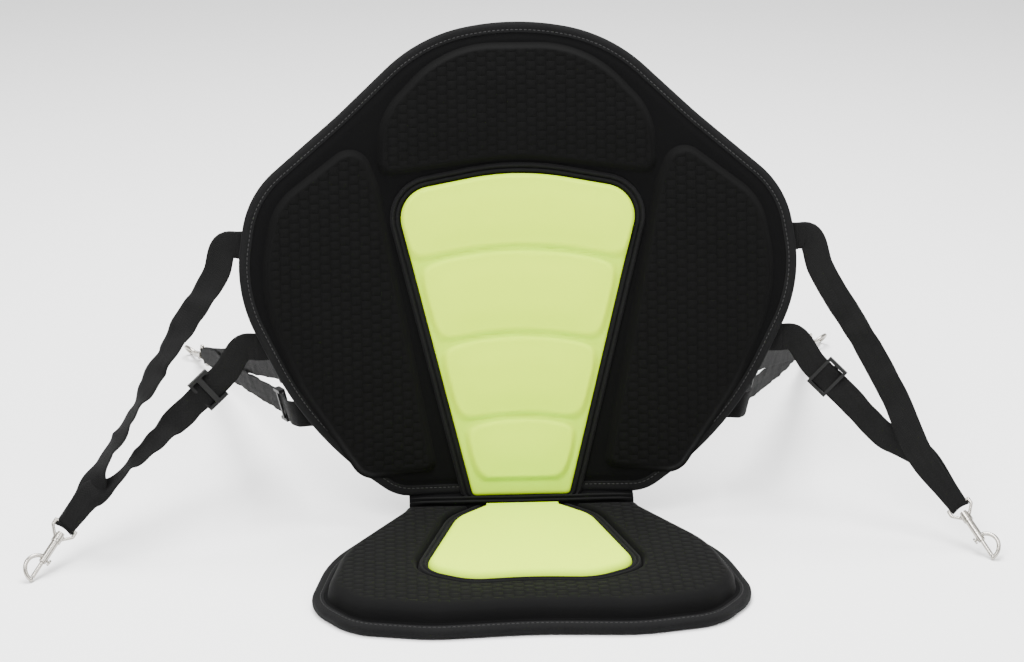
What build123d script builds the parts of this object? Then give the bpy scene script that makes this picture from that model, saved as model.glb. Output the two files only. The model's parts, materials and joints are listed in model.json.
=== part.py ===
from build123d import *
import os
from math import acos, atan2, cos, hypot, pi, radians, sin, tan

# A padded clip-in seat for a sit-on-top kayak: a seat cushion, a backrest hinged to its rear edge by a
# fabric fold, and four webbing straps with swivel snap hooks.
# Millimetres. The origin is the middle of the cushion's underside, -Y is where the sitter looks, +Z is up.
# Left and right are the sitter's own, so the left side is +X.

# --- seat cushion
seat_width = 384.0
seat_depth = 227.0
seat_rear_width = 250.0
flange_thickness = 9.0  # the bound edge of both panels
seat_pad_height = 26.0
seat_insert_height = 28.5
seat_pad_margin = 15.0  # from the bound edge to the raised pad, at the front and sides
seat_pad_rear_margin = 4.0  # the same at the fold
insert_side_margin = 96.0  # from the cushion's widest point to the bright insert
insert_front_margin = 70.0  # from the cushion's front to the bright insert
insert_rear_width = 70.0
insert_rear_margin = 7.0
border_rear_margin = 2.0
channel_width = 9.0  # corded channel round each bright insert
channel_height = 7.0

# --- backrest
back_width = 516.0
back_height = 446.0
back_foot_width = 236.0
back_lean = 14.0  # degrees back from upright
wing_radius = 1200.0  # curve of the backrest round the sitter, seen from above
back_pad_thickness = 10.5
lumbar_proud = 1.5  # how far the lumbar bolsters stand out past the black pads
lumbar_side_margin = 142.0  # from the backrest's widest point to the lumbar panel's upper corners
lumbar_top_margin = 136.5  # from the top of the backrest to the top of the lumbar panel
lumbar_foot_width = 92.0
bolster_count = 4
valley_width = 11.0  # between two bolsters
valley_depth = 7.0
valley_arch = 83.0  # how much lower each valley is at the backrest's sides than in the middle
stiffener_thickness = 1.5
fold_gap = 2.5  # bare height between the fold and the lowest backrest edge

# --- cloth and tape
cloth_thickness = 1.0
binding_width = 10.0
binding_thickness = 1.0
layer_clearance = 0.3
webbing_width = 25.0
webbing_thickness = 1.6

# --- fold between cushion and backrest
fold_rod_radius = 1.4
fold_web_reach = 6.5  # how far the strip's flat lies over the seat pad

# --- snap hooks, each measured from the middle of the bar that carries the webbing
hook_reach = 61.0
hook_mouth_start = 40.0
hook_bulge = 12.0
hook_wire_radius = 2.0
barrel_radius = 3.5
bolt_radius = 1.9
bolt_clearance = 0.1
swivel_stem_radius = 2.1
swivel_clearance = 0.1
eye_inner_width = 18.8
eye_bar_radius = 1.6
eye_shoulder = 5.6  # where the eye starts to narrow to its boss
eye_boss_start = 10.0
eye_boss_length = 5.0
eye_boss_radius = 4.6
webbing_bar_clearance = 0.35
swivel_head_radius = 3.4
swivel_head_length = 1.8
swivel_head_gap = 0.4
collar_length = 2.5
bolt_travel = 7.0
knob_slot_width = 2.6
knob_setback = 3.0  # from the start of the mouth back to the knob
knob_stem_radius = 1.0
slot_end_gap = 0.4
knob_radius = 3.0
knob_thickness = 1.6
spring_wire = 0.3
spring_turns = 5
spring_room = 2.0  # left for the spring when the bolt is pushed right back
hook_root = 5.0  # how far back along the barrel the curved wire starts
hook_root_rise = 1.5
toe_swell = 0.2  # how much fatter the toe is than the wire
toe_ground_gap = 0.2

# --- straps
tape_end_gap = 3.0  # between a sewn tape's end and the line the strap swings about
gather_length = 30.0  # where the webbing narrows to pass through the hook's eye
root_gap = 0.6
patch_edge_margin = 3.0  # from the backrest's edge to the sewn patches

# --- sliders
slider_length = 22.0
slider_rail = 3.0
slider_clearance = 0.4
slider_bar = 3.0
slider_middle_bar = 5.0
slider_plate = 2.0
slider_share = {"front": 0.24, "rear": 0.16}  # how far along its leg each slider sits, from the hold

# Where each strap is held, along the backrest: (distance from the middle, height above the fold).
FRONT_UPPER_HOLD = (back_width / 2 + 6.0, 243.0)
FRONT_LOWER_HOLD = (back_width / 2 - 8.0, 148.0)
REAR_UPPER_HOLD = (back_width / 2 - 44.0, 124.0)
REAR_LOWER_HOLD = (back_width / 2 - 55.0, 83.0)
# Where each strap's hook lies when the straps are drawn out, from the middle of the fold: (x, y).
HOOK_PLACES = {
    "front_left": (402.0, -55.0),
    "front_right": (-418.0, -55.0),
    "rear_left": (352.0, 436.0),
    "rear_right": (-330.0, 436.0),
}
HOOK_BAR_HEIGHTS = {"front": 36.0, "rear": 18.0}

# --- worked out from the above
fold_y = seat_depth / 2
fold_height = seat_insert_height + 0.5
lean = radians(back_lean)
up_back = Vector(0, sin(lean), cos(lean))
out_front = Vector(0, -cos(lean), sin(lean))
fold_point = Vector(0, fold_y, fold_height)
# The sketch plane of the backrest: x to the sitter's left, y up the panel, normal towards the sitter.
back_plane = Plane(origin=fold_point, x_dir=(1, 0, 0), z_dir=out_front)
# The section plane of the backrest: x to the sitter's left, y straight back through the panel.
section_plane = Plane(origin=fold_point, x_dir=(1, 0, 0), z_dir=up_back)
pad_front = 2.0  # depth of the pads' faces behind the fold
shell_front = pad_front + back_pad_thickness
shell_back = shell_front + flange_thickness

os.makedirs("parts", exist_ok=True)


def finish(piece, name):
    """Label a finished piece and write it as a STEP file."""
    piece.part.label = name
    export_step(piece.part, f"parts/{name}.step")


def radii_of(corners):
    """The radius that rounds each corner of a closed outline over its share of its shorter side."""
    radii = []
    for index, (x, y, share) in enumerate(corners):
        here = Vector(x, y)
        before = here - Vector(*corners[index - 1][:2])
        after = Vector(*corners[(index + 1) % len(corners)][:2]) - here
        turn = radians(before.get_angle(after))
        radii.append(share * min(before.length, after.length) / tan(turn / 2))
    return radii


def mirrored(half):
    """A closed outline's corners and radii from the corners of its left half, in order."""
    corners = half + [(-x, y, share) for x, y, share in reversed(half) if x > 0]
    return [(x, y) for x, y, _ in corners], radii_of(corners)


def outline(half, grow=0.0):
    """The outline with these corners, made larger or smaller all round."""
    points, radii = mirrored(half)
    with BuildSketch() as shape:
        with BuildLine():
            FilletPolyline(*points, radius=radii, close=True)
        make_face()
        if grow:
            offset(amount=grow, kind=Kind.ARC)
    return shape.sketch


# --- outlines: (distance from the middle, distance from the fold, share of its shorter side that the
# corner's rounding takes up)
seat_side = seat_width / 2
seat_foot = seat_rear_width / 2
SEAT = [
    (seat_foot, 0, 0.053),
    (seat_side - 11, 0.37 * seat_depth, 0.332),
    (seat_side + 5, 0.74 * seat_depth, 0.401),
    (seat_side - 32, 0.945 * seat_depth, 0.341),
    (seat_side - 102, 1.005 * seat_depth, 0.252),
    (0, 0.98 * seat_depth, 0.28),
]
# the same outline carried back, so that the raised pad runs up to the fold
carried = seat_pad_margin - seat_pad_rear_margin
SEAT_PAD = [(seat_foot - 0.65 * carried, -carried, 0.075)] + SEAT[1:]
insert_side = seat_side - insert_side_margin
insert_front = seat_depth - insert_front_margin
SEAT_INSERT = [
    (insert_rear_width / 2, insert_rear_margin, 0.125),
    (insert_rear_width / 2 + 27, insert_rear_margin + 23, 0.3),
    (insert_side, insert_front - 22, 0.447),
    (insert_side - 41, insert_front, 0.306),
    (0, insert_front - 4, 0.292),
]
back_side = back_width / 2
back_foot = back_foot_width / 2
BACK = [
    (back_foot, fold_gap, 0.047),
    (back_side - 60, 0.139 * back_height, 0.75),
    (back_side + 6, 0.448 * back_height, 0.475),
    (back_side - 8, 0.648 * back_height, 0.36),
    (back_side - 91, 0.807 * back_height, 0.102),
    (back_side - 170, 0.973 * back_height, 0.49),
    (0, 1.007 * back_height, 0.463),
]
lumbar_side = back_side - lumbar_side_margin
lumbar_top = back_height - lumbar_top_margin
lumbar_foot = lumbar_foot_width / 2
LUMBAR = [
    (lumbar_foot, fold_gap + 1, 0.043),
    (lumbar_side, lumbar_top - 21.5, 0.27),
    (0, lumbar_top, 0.393),
]
TOP_PAD = [
    (0, lumbar_top + 7, 0.222),
    (lumbar_side + 17, lumbar_top - 9.5, 0.287),
    (lumbar_side + 14, back_height - 84, 0.426),
    (lumbar_side - 50, back_height - 18, 0.49),
]
SIDE_PAD = [
    (lumbar_foot + 30, 24, 0.185),
    (lumbar_side + 11, lumbar_top - 13.5, 0.026),
    (lumbar_side + 30, back_height - 102, 0.56),
    (back_side - 30, 0.632 * back_height, 0.269),
    (back_side - 13, 0.448 * back_height, 0.553),
    (back_side - 53, 0.233 * back_height, 0.148),
    (back_foot + 32, 20, 0.186),
]


def slab(front, back):
    """A curved sheet as wide as the backrest, between two depths behind its curved face."""
    with BuildPart() as sheet:
        with BuildSketch(section_plane):
            with Locations((0, -wing_radius)):
                Circle(wing_radius + back)
                Circle(wing_radius + front, mode=Mode.SUBTRACT)
            Rectangle(2 * back_width, wing_radius, mode=Mode.INTERSECT)
        extrude(amount=2 * back_height, both=True)
    return sheet.part


def back_layer(half, front, back, grow=0.0):
    """One layer of the backrest: an outline cut from a curved sheet between two depths."""
    with BuildPart() as layer:
        with BuildSketch(back_plane):
            add(outline(half, grow))
        extrude(amount=wing_radius / 4, both=True)
        add(slab(front, back), mode=Mode.INTERSECT)
    return layer.part


def side_pad(side, front, back):
    """One of the two tall pads beside the lumbar panel."""
    corners = [(side * x, y, share) for x, y, share in SIDE_PAD]
    with BuildPart() as layer:
        with BuildSketch(back_plane):
            with BuildLine():
                FilletPolyline(*[(x, y) for x, y, _ in corners], radius=radii_of(corners), close=True)
            make_face()
        extrude(amount=wing_radius / 4, both=True)
        add(slab(front, back), mode=Mode.INTERSECT)
    return layer.part


def seat_layer(half, bottom, top, grow=0.0):
    """One layer of the cushion: an outline between two heights."""
    with BuildPart() as layer:
        with BuildSketch(Plane(origin=(0, fold_y, bottom), x_dir=(-1, 0, 0), z_dir=(0, 0, 1))):
            add(outline(half, grow))
        extrude(amount=top - bottom)
    return layer.part


# --- seat cushion
inner_edge = -binding_width - layer_clearance
core_edge = -binding_thickness - layer_clearance

with BuildPart() as seat_base_fabric:
    add(seat_layer(SEAT, 0, cloth_thickness, inner_edge))
finish(seat_base_fabric, "seat_base_fabric")

with BuildPart() as seat_foam_core:
    add(seat_layer(SEAT, binding_thickness, flange_thickness - binding_thickness, core_edge))
finish(seat_foam_core, "seat_foam_core")

with BuildPart() as seat_top_shell:
    add(seat_layer(SEAT, flange_thickness - binding_thickness, flange_thickness, inner_edge))
finish(seat_top_shell, "seat_top_shell")

with BuildPart() as seat_edge_binding:
    add(seat_layer(SEAT, 0, flange_thickness))
    add(seat_layer(SEAT, 0, flange_thickness, -binding_width), mode=Mode.SUBTRACT)
    add(
        seat_layer(SEAT, binding_thickness, flange_thickness - binding_thickness, -binding_thickness),
        mode=Mode.SUBTRACT,
    )
finish(seat_edge_binding, "seat_edge_binding")

with BuildPart() as seat_pad:
    add(seat_layer(SEAT_PAD, flange_thickness, seat_pad_height, -seat_pad_margin))
    add(seat_layer(SEAT_INSERT, 0, 2 * seat_pad_height, channel_width), mode=Mode.SUBTRACT)
    with BuildSketch(Plane.XY.offset(flange_thickness)):
        with Locations((0, fold_y)):
            Rectangle(insert_rear_width + 2 * channel_width, 2 * (insert_rear_margin + channel_width))
    extrude(amount=seat_pad_height, mode=Mode.SUBTRACT)
finish(seat_pad, "seat_pad")

with BuildPart() as seat_insert_border:
    add(seat_layer(SEAT_INSERT, flange_thickness, flange_thickness + channel_height, channel_width - 0.5))
    add(seat_layer(SEAT_INSERT, 0, seat_pad_height, layer_clearance), mode=Mode.SUBTRACT)
    with BuildSketch(Plane.XY):
        with Locations((0, fold_y)):
            Rectangle(seat_width, 2 * border_rear_margin)
    extrude(amount=seat_pad_height, mode=Mode.SUBTRACT)
finish(seat_insert_border, "seat_insert_border")

with BuildPart() as seat_insert:
    add(seat_layer(SEAT_INSERT, flange_thickness, seat_insert_height))
finish(seat_insert, "seat_insert")

with BuildPart() as fold_strip:
    with BuildSketch(Plane.YZ.offset(-back_foot + 4)):
        with Locations((fold_y, fold_height)):
            Circle(fold_rod_radius)
        with Locations((fold_y - fold_web_reach / 2, (seat_pad_height + fold_height - 0.8) / 2)):
            Rectangle(fold_web_reach, fold_height - 0.8 - seat_pad_height)
    extrude(amount=2 * back_foot - 8)
finish(fold_strip, "fold_strip")

# --- backrest
with BuildPart() as back_rear_panel:
    add(back_layer(BACK, shell_back - cloth_thickness, shell_back, inner_edge))
finish(back_rear_panel, "back_rear_panel")

with BuildPart() as back_stiffener:
    add(
        back_layer(
            BACK,
            shell_back - cloth_thickness - stiffener_thickness,
            shell_back - cloth_thickness,
            -2 * binding_width,
        )
    )
finish(back_stiffener, "back_stiffener")

with BuildPart() as back_foam_core:
    add(
        back_layer(
            BACK,
            shell_front + binding_thickness,
            shell_back - cloth_thickness - stiffener_thickness,
            core_edge,
        )
    )
finish(back_foam_core, "back_foam_core")

with BuildPart() as back_front_shell:
    add(back_layer(BACK, shell_front, shell_front + binding_thickness, inner_edge))
finish(back_front_shell, "back_front_shell")

with BuildPart() as back_edge_binding:
    add(back_layer(BACK, shell_front, shell_back))
    add(back_layer(BACK, 0, 2 * shell_back, -binding_width), mode=Mode.SUBTRACT)
    add(
        back_layer(
            BACK, shell_front + binding_thickness, shell_back - binding_thickness, -binding_thickness
        ),
        mode=Mode.SUBTRACT,
    )
finish(back_edge_binding, "back_edge_binding")

with BuildPart() as top_pad:
    add(back_layer(TOP_PAD, pad_front, shell_front))
finish(top_pad, "top_pad")

for side, word in ((1, "left"), (-1, "right")):
    with BuildPart() as tall_pad:
        add(side_pad(side, pad_front, shell_front))
    finish(tall_pad, f"side_pad_{word}")

with BuildPart() as lumbar_border:
    add(back_layer(LUMBAR, shell_front - channel_height, shell_front, channel_width))
    add(back_layer(LUMBAR, 0, 2 * shell_back, layer_clearance), mode=Mode.SUBTRACT)
    with BuildSketch(back_plane):
        with Locations((0, fold_gap - channel_width)):
            Rectangle(2 * back_width, 2 * channel_width)
    extrude(amount=wing_radius / 4, both=True, mode=Mode.SUBTRACT)
finish(lumbar_border, "lumbar_border")

with BuildPart() as lumbar_panel:
    add(back_layer(LUMBAR, pad_front - lumbar_proud, shell_front))
    for valley in range(1, bolster_count):
        height = valley * lumbar_top / bolster_count
        with BuildSketch(back_plane):
            for edge in (height + valley_width / 2, height - valley_width / 2):
                left_end = (-back_side, edge - valley_arch)
                right_end = (back_side, edge - valley_arch)
                with BuildLine():
                    ThreePointArc(left_end, (0, edge), right_end)
                    Line(right_end, (back_side, -back_height))
                    Line((back_side, -back_height), (-back_side, -back_height))
                    Line((-back_side, -back_height), left_end)
                make_face(mode=Mode.ADD if edge > height else Mode.SUBTRACT)
        extrude(amount=-(pad_front + valley_depth), mode=Mode.SUBTRACT)
finish(lumbar_panel, "lumbar_panel")


def back_point(across, up, behind):
    """A point on the curved backrest: across from the middle, up from the fold, behind the fold's face."""
    forward = wing_radius - (wing_radius**2 - across**2) ** 0.5
    return fold_point + Vector(across, 0, 0) + up_back * up + out_front * (forward - behind)


def tape_on_back(low, high):
    """Webbing sewn flat on the rear panel, between two corners given as (across, up)."""
    with BuildPart() as tape:
        with BuildSketch(back_plane):
            with Locations(((low[0] + high[0]) / 2, (low[1] + high[1]) / 2)):
                Rectangle(high[0] - low[0], high[1] - low[1])
        extrude(amount=wing_radius / 4, both=True)
        add(slab(shell_back, shell_back + webbing_thickness), mode=Mode.INTERSECT)
    return tape.part


half_tape = webbing_width / 2
for (across, up), word in ((FRONT_UPPER_HOLD, "upper"), (FRONT_LOWER_HOLD, "lower")):
    with BuildPart() as rear_tape:
        add(tape_on_back((tape_end_gap - across, up - half_tape), (across - tape_end_gap, up + half_tape)))
    finish(rear_tape, f"rear_tape_{word}")

patch_low = REAR_LOWER_HOLD[1] - half_tape
patch_high = FRONT_LOWER_HOLD[1] - half_tape - layer_clearance
for side, word in ((1, "left"), (-1, "right")):
    middle = side * (REAR_UPPER_HOLD[0] + REAR_LOWER_HOLD[0]) / 2
    with BuildPart() as rear_patch:
        add(tape_on_back((middle - half_tape, patch_low), (middle + half_tape, patch_high)))
        add(
            back_layer(BACK, shell_back, shell_back + webbing_thickness, -patch_edge_margin),
            mode=Mode.INTERSECT,
        )
    finish(rear_patch, f"rear_patch_{word}")


# --- straps
wrap_radius = eye_bar_radius + webbing_bar_clearance + webbing_thickness / 2
gathered_width = eye_inner_width - 1.2


def strap_frame(name):
    """Where a strap lies: its bar's middle, its two holds, and its pull, bar and face directions."""
    end, word = name.split("_")
    side = 1 if word == "left" else -1
    if end == "front":
        behind = shell_back + webbing_thickness / 2
        holds = (FRONT_UPPER_HOLD, FRONT_LOWER_HOLD)
    else:
        behind = shell_back + webbing_thickness + tape_end_gap
        holds = (REAR_UPPER_HOLD, REAR_LOWER_HOLD)
    upper, lower = (back_point(side * across, up, behind) for across, up in holds)
    x, y = HOOK_PLACES[name]
    bar = Vector(x, fold_y + y, HOOK_BAR_HEIGHTS[end])
    pull = (bar - (upper + lower) * 0.5).normalized()
    face = pull.cross(upper - lower).normalized()
    return bar, upper, lower, pull, face.cross(pull), face


def webbing_leg(name, hold, lift):
    """One flat leg of webbing from the hook's bar to a hold, lifted off the middle plane by its wrap."""
    bar, upper, lower, pull, across, face = strap_frame(name)
    along = (hold - bar).normalized()
    width_way = face.cross(along) * (1 if face.cross(along).dot(across) > 0 else -1)
    root_way = (upper - lower).normalized()
    root_half = half_tape / root_way.dot(width_way)
    root = hold - along * root_gap
    gathered = bar + along * gather_length
    plane = Plane(origin=bar + face * lift, x_dir=pull * -1, z_dir=face)
    corners = (
        bar - across * (gathered_width / 2),
        gathered - width_way * half_tape,
        root - root_way * root_half,
        root + root_way * root_half,
        gathered + width_way * half_tape,
        bar + across * (gathered_width / 2),
    )
    flat = [plane.to_local_coords(corner) for corner in corners]
    with BuildPart() as leg:
        with BuildSketch(plane):
            with BuildLine():
                Polyline([(corner.X, corner.Y) for corner in flat], close=True)
            make_face()
        extrude(amount=webbing_thickness / 2, both=True)
    return leg.part


def webbing_wrap(name):
    """The half turn of webbing round the hook's bar."""
    bar, _, _, pull, across, face = strap_frame(name)
    with BuildPart() as wrap:
        plane = Plane(origin=bar - across * (gathered_width / 2), x_dir=pull, z_dir=across)
        with BuildSketch(plane):
            Circle(wrap_radius + webbing_thickness / 2)
            Circle(wrap_radius - webbing_thickness / 2, mode=Mode.SUBTRACT)
            with Locations((wrap_radius, 0)):
                Rectangle(2 * wrap_radius, 4 * wrap_radius, mode=Mode.INTERSECT)
        extrude(amount=gathered_width)
    return wrap.part


def slider_solid(name, hold, lift):
    """A three-bar slider on one leg: two bars over the webbing and one under it."""
    bar, _, _, pull, across, face = strap_frame(name)
    toward = (hold - bar).normalized()
    centre = bar + face * lift + (hold - bar) * (1 - slider_share[name.split("_")[0]])
    plane = Plane(origin=centre, x_dir=toward, z_dir=face)
    half_gap = webbing_thickness / 2 + slider_clearance
    rail_centre = half_tape + slider_clearance + slider_rail / 2
    height = 2 * (half_gap + slider_plate)
    end_bar = (slider_length - slider_bar) / 2
    with BuildPart(plane) as body:
        with Locations((0, rail_centre, 0), (0, -rail_centre, 0)):
            Box(slider_length, slider_rail, height)
        with Locations((end_bar, 0, half_gap + slider_plate / 2), (-end_bar, 0, half_gap + slider_plate / 2)):
            Box(slider_bar, 2 * rail_centre, slider_plate)
        with Locations((0, 0, -half_gap - slider_plate / 2)):
            Box(slider_middle_bar, 2 * rail_centre, slider_plate)
    return body.part


# --- snap hook, built along +X from the middle of the bar, its mouth bulging towards +Y
collar_start = eye_boss_start + eye_boss_length + 0.4
bore_start = collar_start + 7.0
bolt_start = bore_start + bolt_travel + spring_room  # the spring lies between the bore's end and the bolt
knob_at = hook_mouth_start - knob_setback
slot_start = knob_at - bolt_travel - knob_stem_radius - slot_end_gap
toe_radius = hook_wire_radius + toe_swell
toe_centre = hook_reach - toe_radius
bolt_end = toe_centre - toe_radius - 0.6


def hook_eye():
    """The flat eye that carries the webbing, with the bored boss that the hook swivels in."""
    half_width = eye_inner_width / 2
    rim = 2 * eye_bar_radius
    with BuildPart() as eye:
        with BuildSketch(Plane.XY):
            with BuildLine():
                FilletPolyline(
                    (-eye_bar_radius, -half_width - rim),
                    (eye_shoulder, -half_width - rim),
                    (eye_boss_start + 4, -eye_boss_radius),
                    (eye_boss_start + 4, eye_boss_radius),
                    (eye_shoulder, half_width + rim),
                    (-eye_bar_radius, half_width + rim),
                    radius=[1.5, 3, 0.5, 0.5, 3, 1.5],
                    close=True,
                )
            make_face()
            with BuildLine(mode=Mode.PRIVATE) as window:
                FilletPolyline(
                    (eye_bar_radius, -half_width),
                    (eye_shoulder - 0.5, -half_width),
                    (eye_boss_start, -eye_boss_radius),
                    (eye_boss_start, eye_boss_radius),
                    (eye_shoulder - 0.5, half_width),
                    (eye_bar_radius, half_width),
                    radius=[0.3, 0.8, 0.5, 0.5, 0.8, 0.3],
                    close=True,
                )
            add(make_face(window.edges(), mode=Mode.PRIVATE), mode=Mode.SUBTRACT)
        extrude(amount=eye_bar_radius, both=True)
        bar_edges = eye.edges().filter_by(Axis.Y).group_by(Axis.X)
        fillet(bar_edges[0] + bar_edges[1], 0.75 * eye_bar_radius)
        with BuildSketch(Plane.YZ.offset(eye_boss_start)):
            Circle(eye_boss_radius)
        extrude(amount=eye_boss_length)
        with BuildSketch(Plane.YZ.offset(eye_boss_start - 1)):
            Circle(swivel_stem_radius + swivel_clearance)
        extrude(amount=eye_boss_length + 2, mode=Mode.SUBTRACT)
    return eye.part


def hook_body():
    """Swivel stem, bored barrel and curved hook in one casting."""
    with BuildPart() as body:
        with BuildSketch(Plane.YZ.offset(eye_boss_start - swivel_head_gap - swivel_head_length)):
            Circle(swivel_head_radius)
        extrude(amount=swivel_head_length)
        with BuildSketch(Plane.YZ.offset(eye_boss_start - 2 * swivel_head_gap)):
            Circle(swivel_stem_radius)
        extrude(amount=collar_start - eye_boss_start + 4 * swivel_head_gap)
        with BuildSketch(Plane.YZ.offset(collar_start)):
            Circle(eye_boss_radius)
        extrude(amount=collar_length)
        with BuildSketch(Plane.YZ.offset(collar_start + collar_length)):
            Circle(barrel_radius)
        extrude(amount=hook_mouth_start - collar_start - collar_length)
        with BuildLine():
            Spline(
                (hook_mouth_start - hook_root, hook_root_rise),
                (hook_mouth_start - 1.0, 0.75 * hook_bulge),
                (hook_mouth_start + 7.0, hook_bulge),
                (hook_reach - 5.0, 0.62 * hook_bulge),
                (toe_centre, 0),
            )
        with BuildSketch(Plane(origin=(hook_mouth_start - hook_root, hook_root_rise), z_dir=(0.35, 1, 0))):
            Circle(hook_wire_radius)
        sweep()
        with Locations((toe_centre, 0, 0)):
            Sphere(toe_radius)
        with BuildSketch(Plane.YZ.offset(bore_start)):
            Circle(bolt_radius + bolt_clearance)
        extrude(amount=bolt_end + 0.2 - bore_start, mode=Mode.SUBTRACT)
        with BuildSketch(Plane.XY.offset(-knob_slot_width / 2)):
            with Locations(((slot_start + hook_mouth_start + 1) / 2, -barrel_radius)):
                Rectangle(hook_mouth_start + 1 - slot_start, 2 * barrel_radius)
        extrude(amount=knob_slot_width, mode=Mode.SUBTRACT)
    return body.part


def hook_bolt():
    """The spring bolt that shuts the hook, with its thumb knob."""
    with BuildPart() as bolt:
        with BuildSketch(Plane.YZ.offset(bolt_start)):
            Circle(bolt_radius)
        extrude(amount=bolt_end - bolt_start)
        with BuildSketch(Plane.XZ.offset(1.0)):
            with Locations((knob_at, 0)):
                Circle(knob_stem_radius)
        extrude(amount=barrel_radius + 0.8)
        with BuildSketch(Plane.XZ.offset(barrel_radius + 1.0)):
            with Locations((knob_at, 0)):
                Circle(knob_radius)
        extrude(amount=knob_thickness)
    return bolt.part


def bolt_spring():
    """The coil that pushes the bolt shut."""
    length = bolt_start - bore_start - 2 * spring_wire - 0.2
    coil = Helix(pitch=length / spring_turns, height=length, radius=bolt_radius - spring_wire - 0.15)
    with BuildPart() as spring:
        with BuildSketch(Plane(origin=coil @ 0, z_dir=coil % 0)):
            Circle(spring_wire)
        sweep(path=coil)
    return spring.part.moved(Location((bore_start + spring_wire + 0.1, 0, 0), (0, 90, 0)))


def hook_plane(name):
    """Frames of the eye and of the hook: at the bar's middle, x to the hook's toe."""
    bar, _, _, pull, across, face = strap_frame(name)
    # tip the hook about the bar until its toe just rests on the ground
    drop = (toe_radius + toe_ground_gap - bar.Z) / toe_centre
    tip = atan2(face.Z, pull.Z)
    rest = acos(max(-1.0, min(1.0, drop / hypot(pull.Z, face.Z))))
    turns = (tip + rest, tip - rest)
    turn = min((t - 2 * pi * round(t / (2 * pi)) for t in turns), key=abs)
    toe = pull * cos(turn) + face * sin(turn)
    eye_plane = Plane(origin=bar, x_dir=toe, z_dir=toe.cross(across))
    outward = Vector(1 if bar.X > 0 else -1, 0, 0.9)
    bulge = (outward - toe * outward.dot(toe)).normalized()
    return eye_plane, Plane(origin=bar, x_dir=toe, z_dir=toe.cross(bulge))


for name in HOOK_PLACES:
    _, upper, lower, _, _, _ = strap_frame(name)
    with BuildPart() as upper_leg:
        add(webbing_leg(name, upper, wrap_radius))
        add(webbing_wrap(name))
    finish(upper_leg, f"{name}_upper_webbing")
    with BuildPart() as lower_leg:
        add(webbing_leg(name, lower, -wrap_radius))
    finish(lower_leg, f"{name}_lower_webbing")
    with BuildPart() as slider:
        add(slider_solid(name, lower, -wrap_radius))
    finish(slider, f"{name}_slider")
    eye_plane, body_plane = hook_plane(name)
    for make, plane, word in (
        (hook_eye, eye_plane, "hook_eye"),
        (hook_body, body_plane, "hook"),
        (hook_bolt, body_plane, "hook_bolt"),
        (bolt_spring, body_plane, "hook_spring"),
    ):
        with BuildPart() as piece:
            add(make().moved(plane.location))
        finish(piece, f"{name}_{word}")
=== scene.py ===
"""A padded clip-in kayak seat: cushion, moulded backrest, four webbing straps and swivel snap hooks.

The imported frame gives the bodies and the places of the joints. Each sub-assembly here is a class that
builds its soft goods around that frame and dresses the metal and plastic pieces that the frame carries.
Lengths are in metres. Left and right are the sitter's own, so the left side is +X.
"""

import json
import logging
import math
from dataclasses import dataclass, field
from enum import Enum
from typing import Callable, Sequence

import bmesh
import bpy
import numpy as np
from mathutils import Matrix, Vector


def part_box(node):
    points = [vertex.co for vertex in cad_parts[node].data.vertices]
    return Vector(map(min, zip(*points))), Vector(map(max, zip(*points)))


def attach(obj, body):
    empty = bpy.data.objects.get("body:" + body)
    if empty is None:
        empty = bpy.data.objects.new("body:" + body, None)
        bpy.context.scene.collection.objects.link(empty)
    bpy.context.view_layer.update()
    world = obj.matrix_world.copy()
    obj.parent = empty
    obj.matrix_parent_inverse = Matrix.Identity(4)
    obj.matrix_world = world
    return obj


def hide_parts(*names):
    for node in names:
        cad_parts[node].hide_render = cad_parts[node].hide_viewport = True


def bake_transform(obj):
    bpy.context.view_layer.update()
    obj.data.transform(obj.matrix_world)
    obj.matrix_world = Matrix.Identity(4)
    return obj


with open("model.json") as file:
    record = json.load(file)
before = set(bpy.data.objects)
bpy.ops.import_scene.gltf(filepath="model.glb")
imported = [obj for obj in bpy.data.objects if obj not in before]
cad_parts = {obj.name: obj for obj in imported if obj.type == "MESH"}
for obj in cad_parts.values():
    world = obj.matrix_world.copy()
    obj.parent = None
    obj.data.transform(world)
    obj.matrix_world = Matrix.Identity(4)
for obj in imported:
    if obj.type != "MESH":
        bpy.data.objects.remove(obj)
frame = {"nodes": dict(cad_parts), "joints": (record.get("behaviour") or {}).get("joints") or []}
log = logging.getLogger("kayak_seat")

MM = 0.001
WELD = 0.02 * MM  # vertices nearer than this become one
BINDING_COVER = 8.6 * MM  # how far in a bound cloth's own edge lies
SEAM_INSET = 7.6 * MM  # how far in the binding's seam lies
Outline = np.ndarray
Triple = tuple[float, float, float]
Profile = Sequence[tuple[float, float]]


# --------------------------------------------------------------------------- finishes
class Weave(Enum):
    """The surface pattern that a cloth or tape shows."""

    SMOOTH = "smooth"
    # Colour darkened near the edge and low on the relief: painted shade.
    PAINTED_RELIEF_SHADE = "painted_relief_shade"
    EMBOSSED = "embossed"
    GROSGRAIN = "grosgrain"
    WEBBING = "webbing"
    CANVAS = "canvas"


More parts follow.
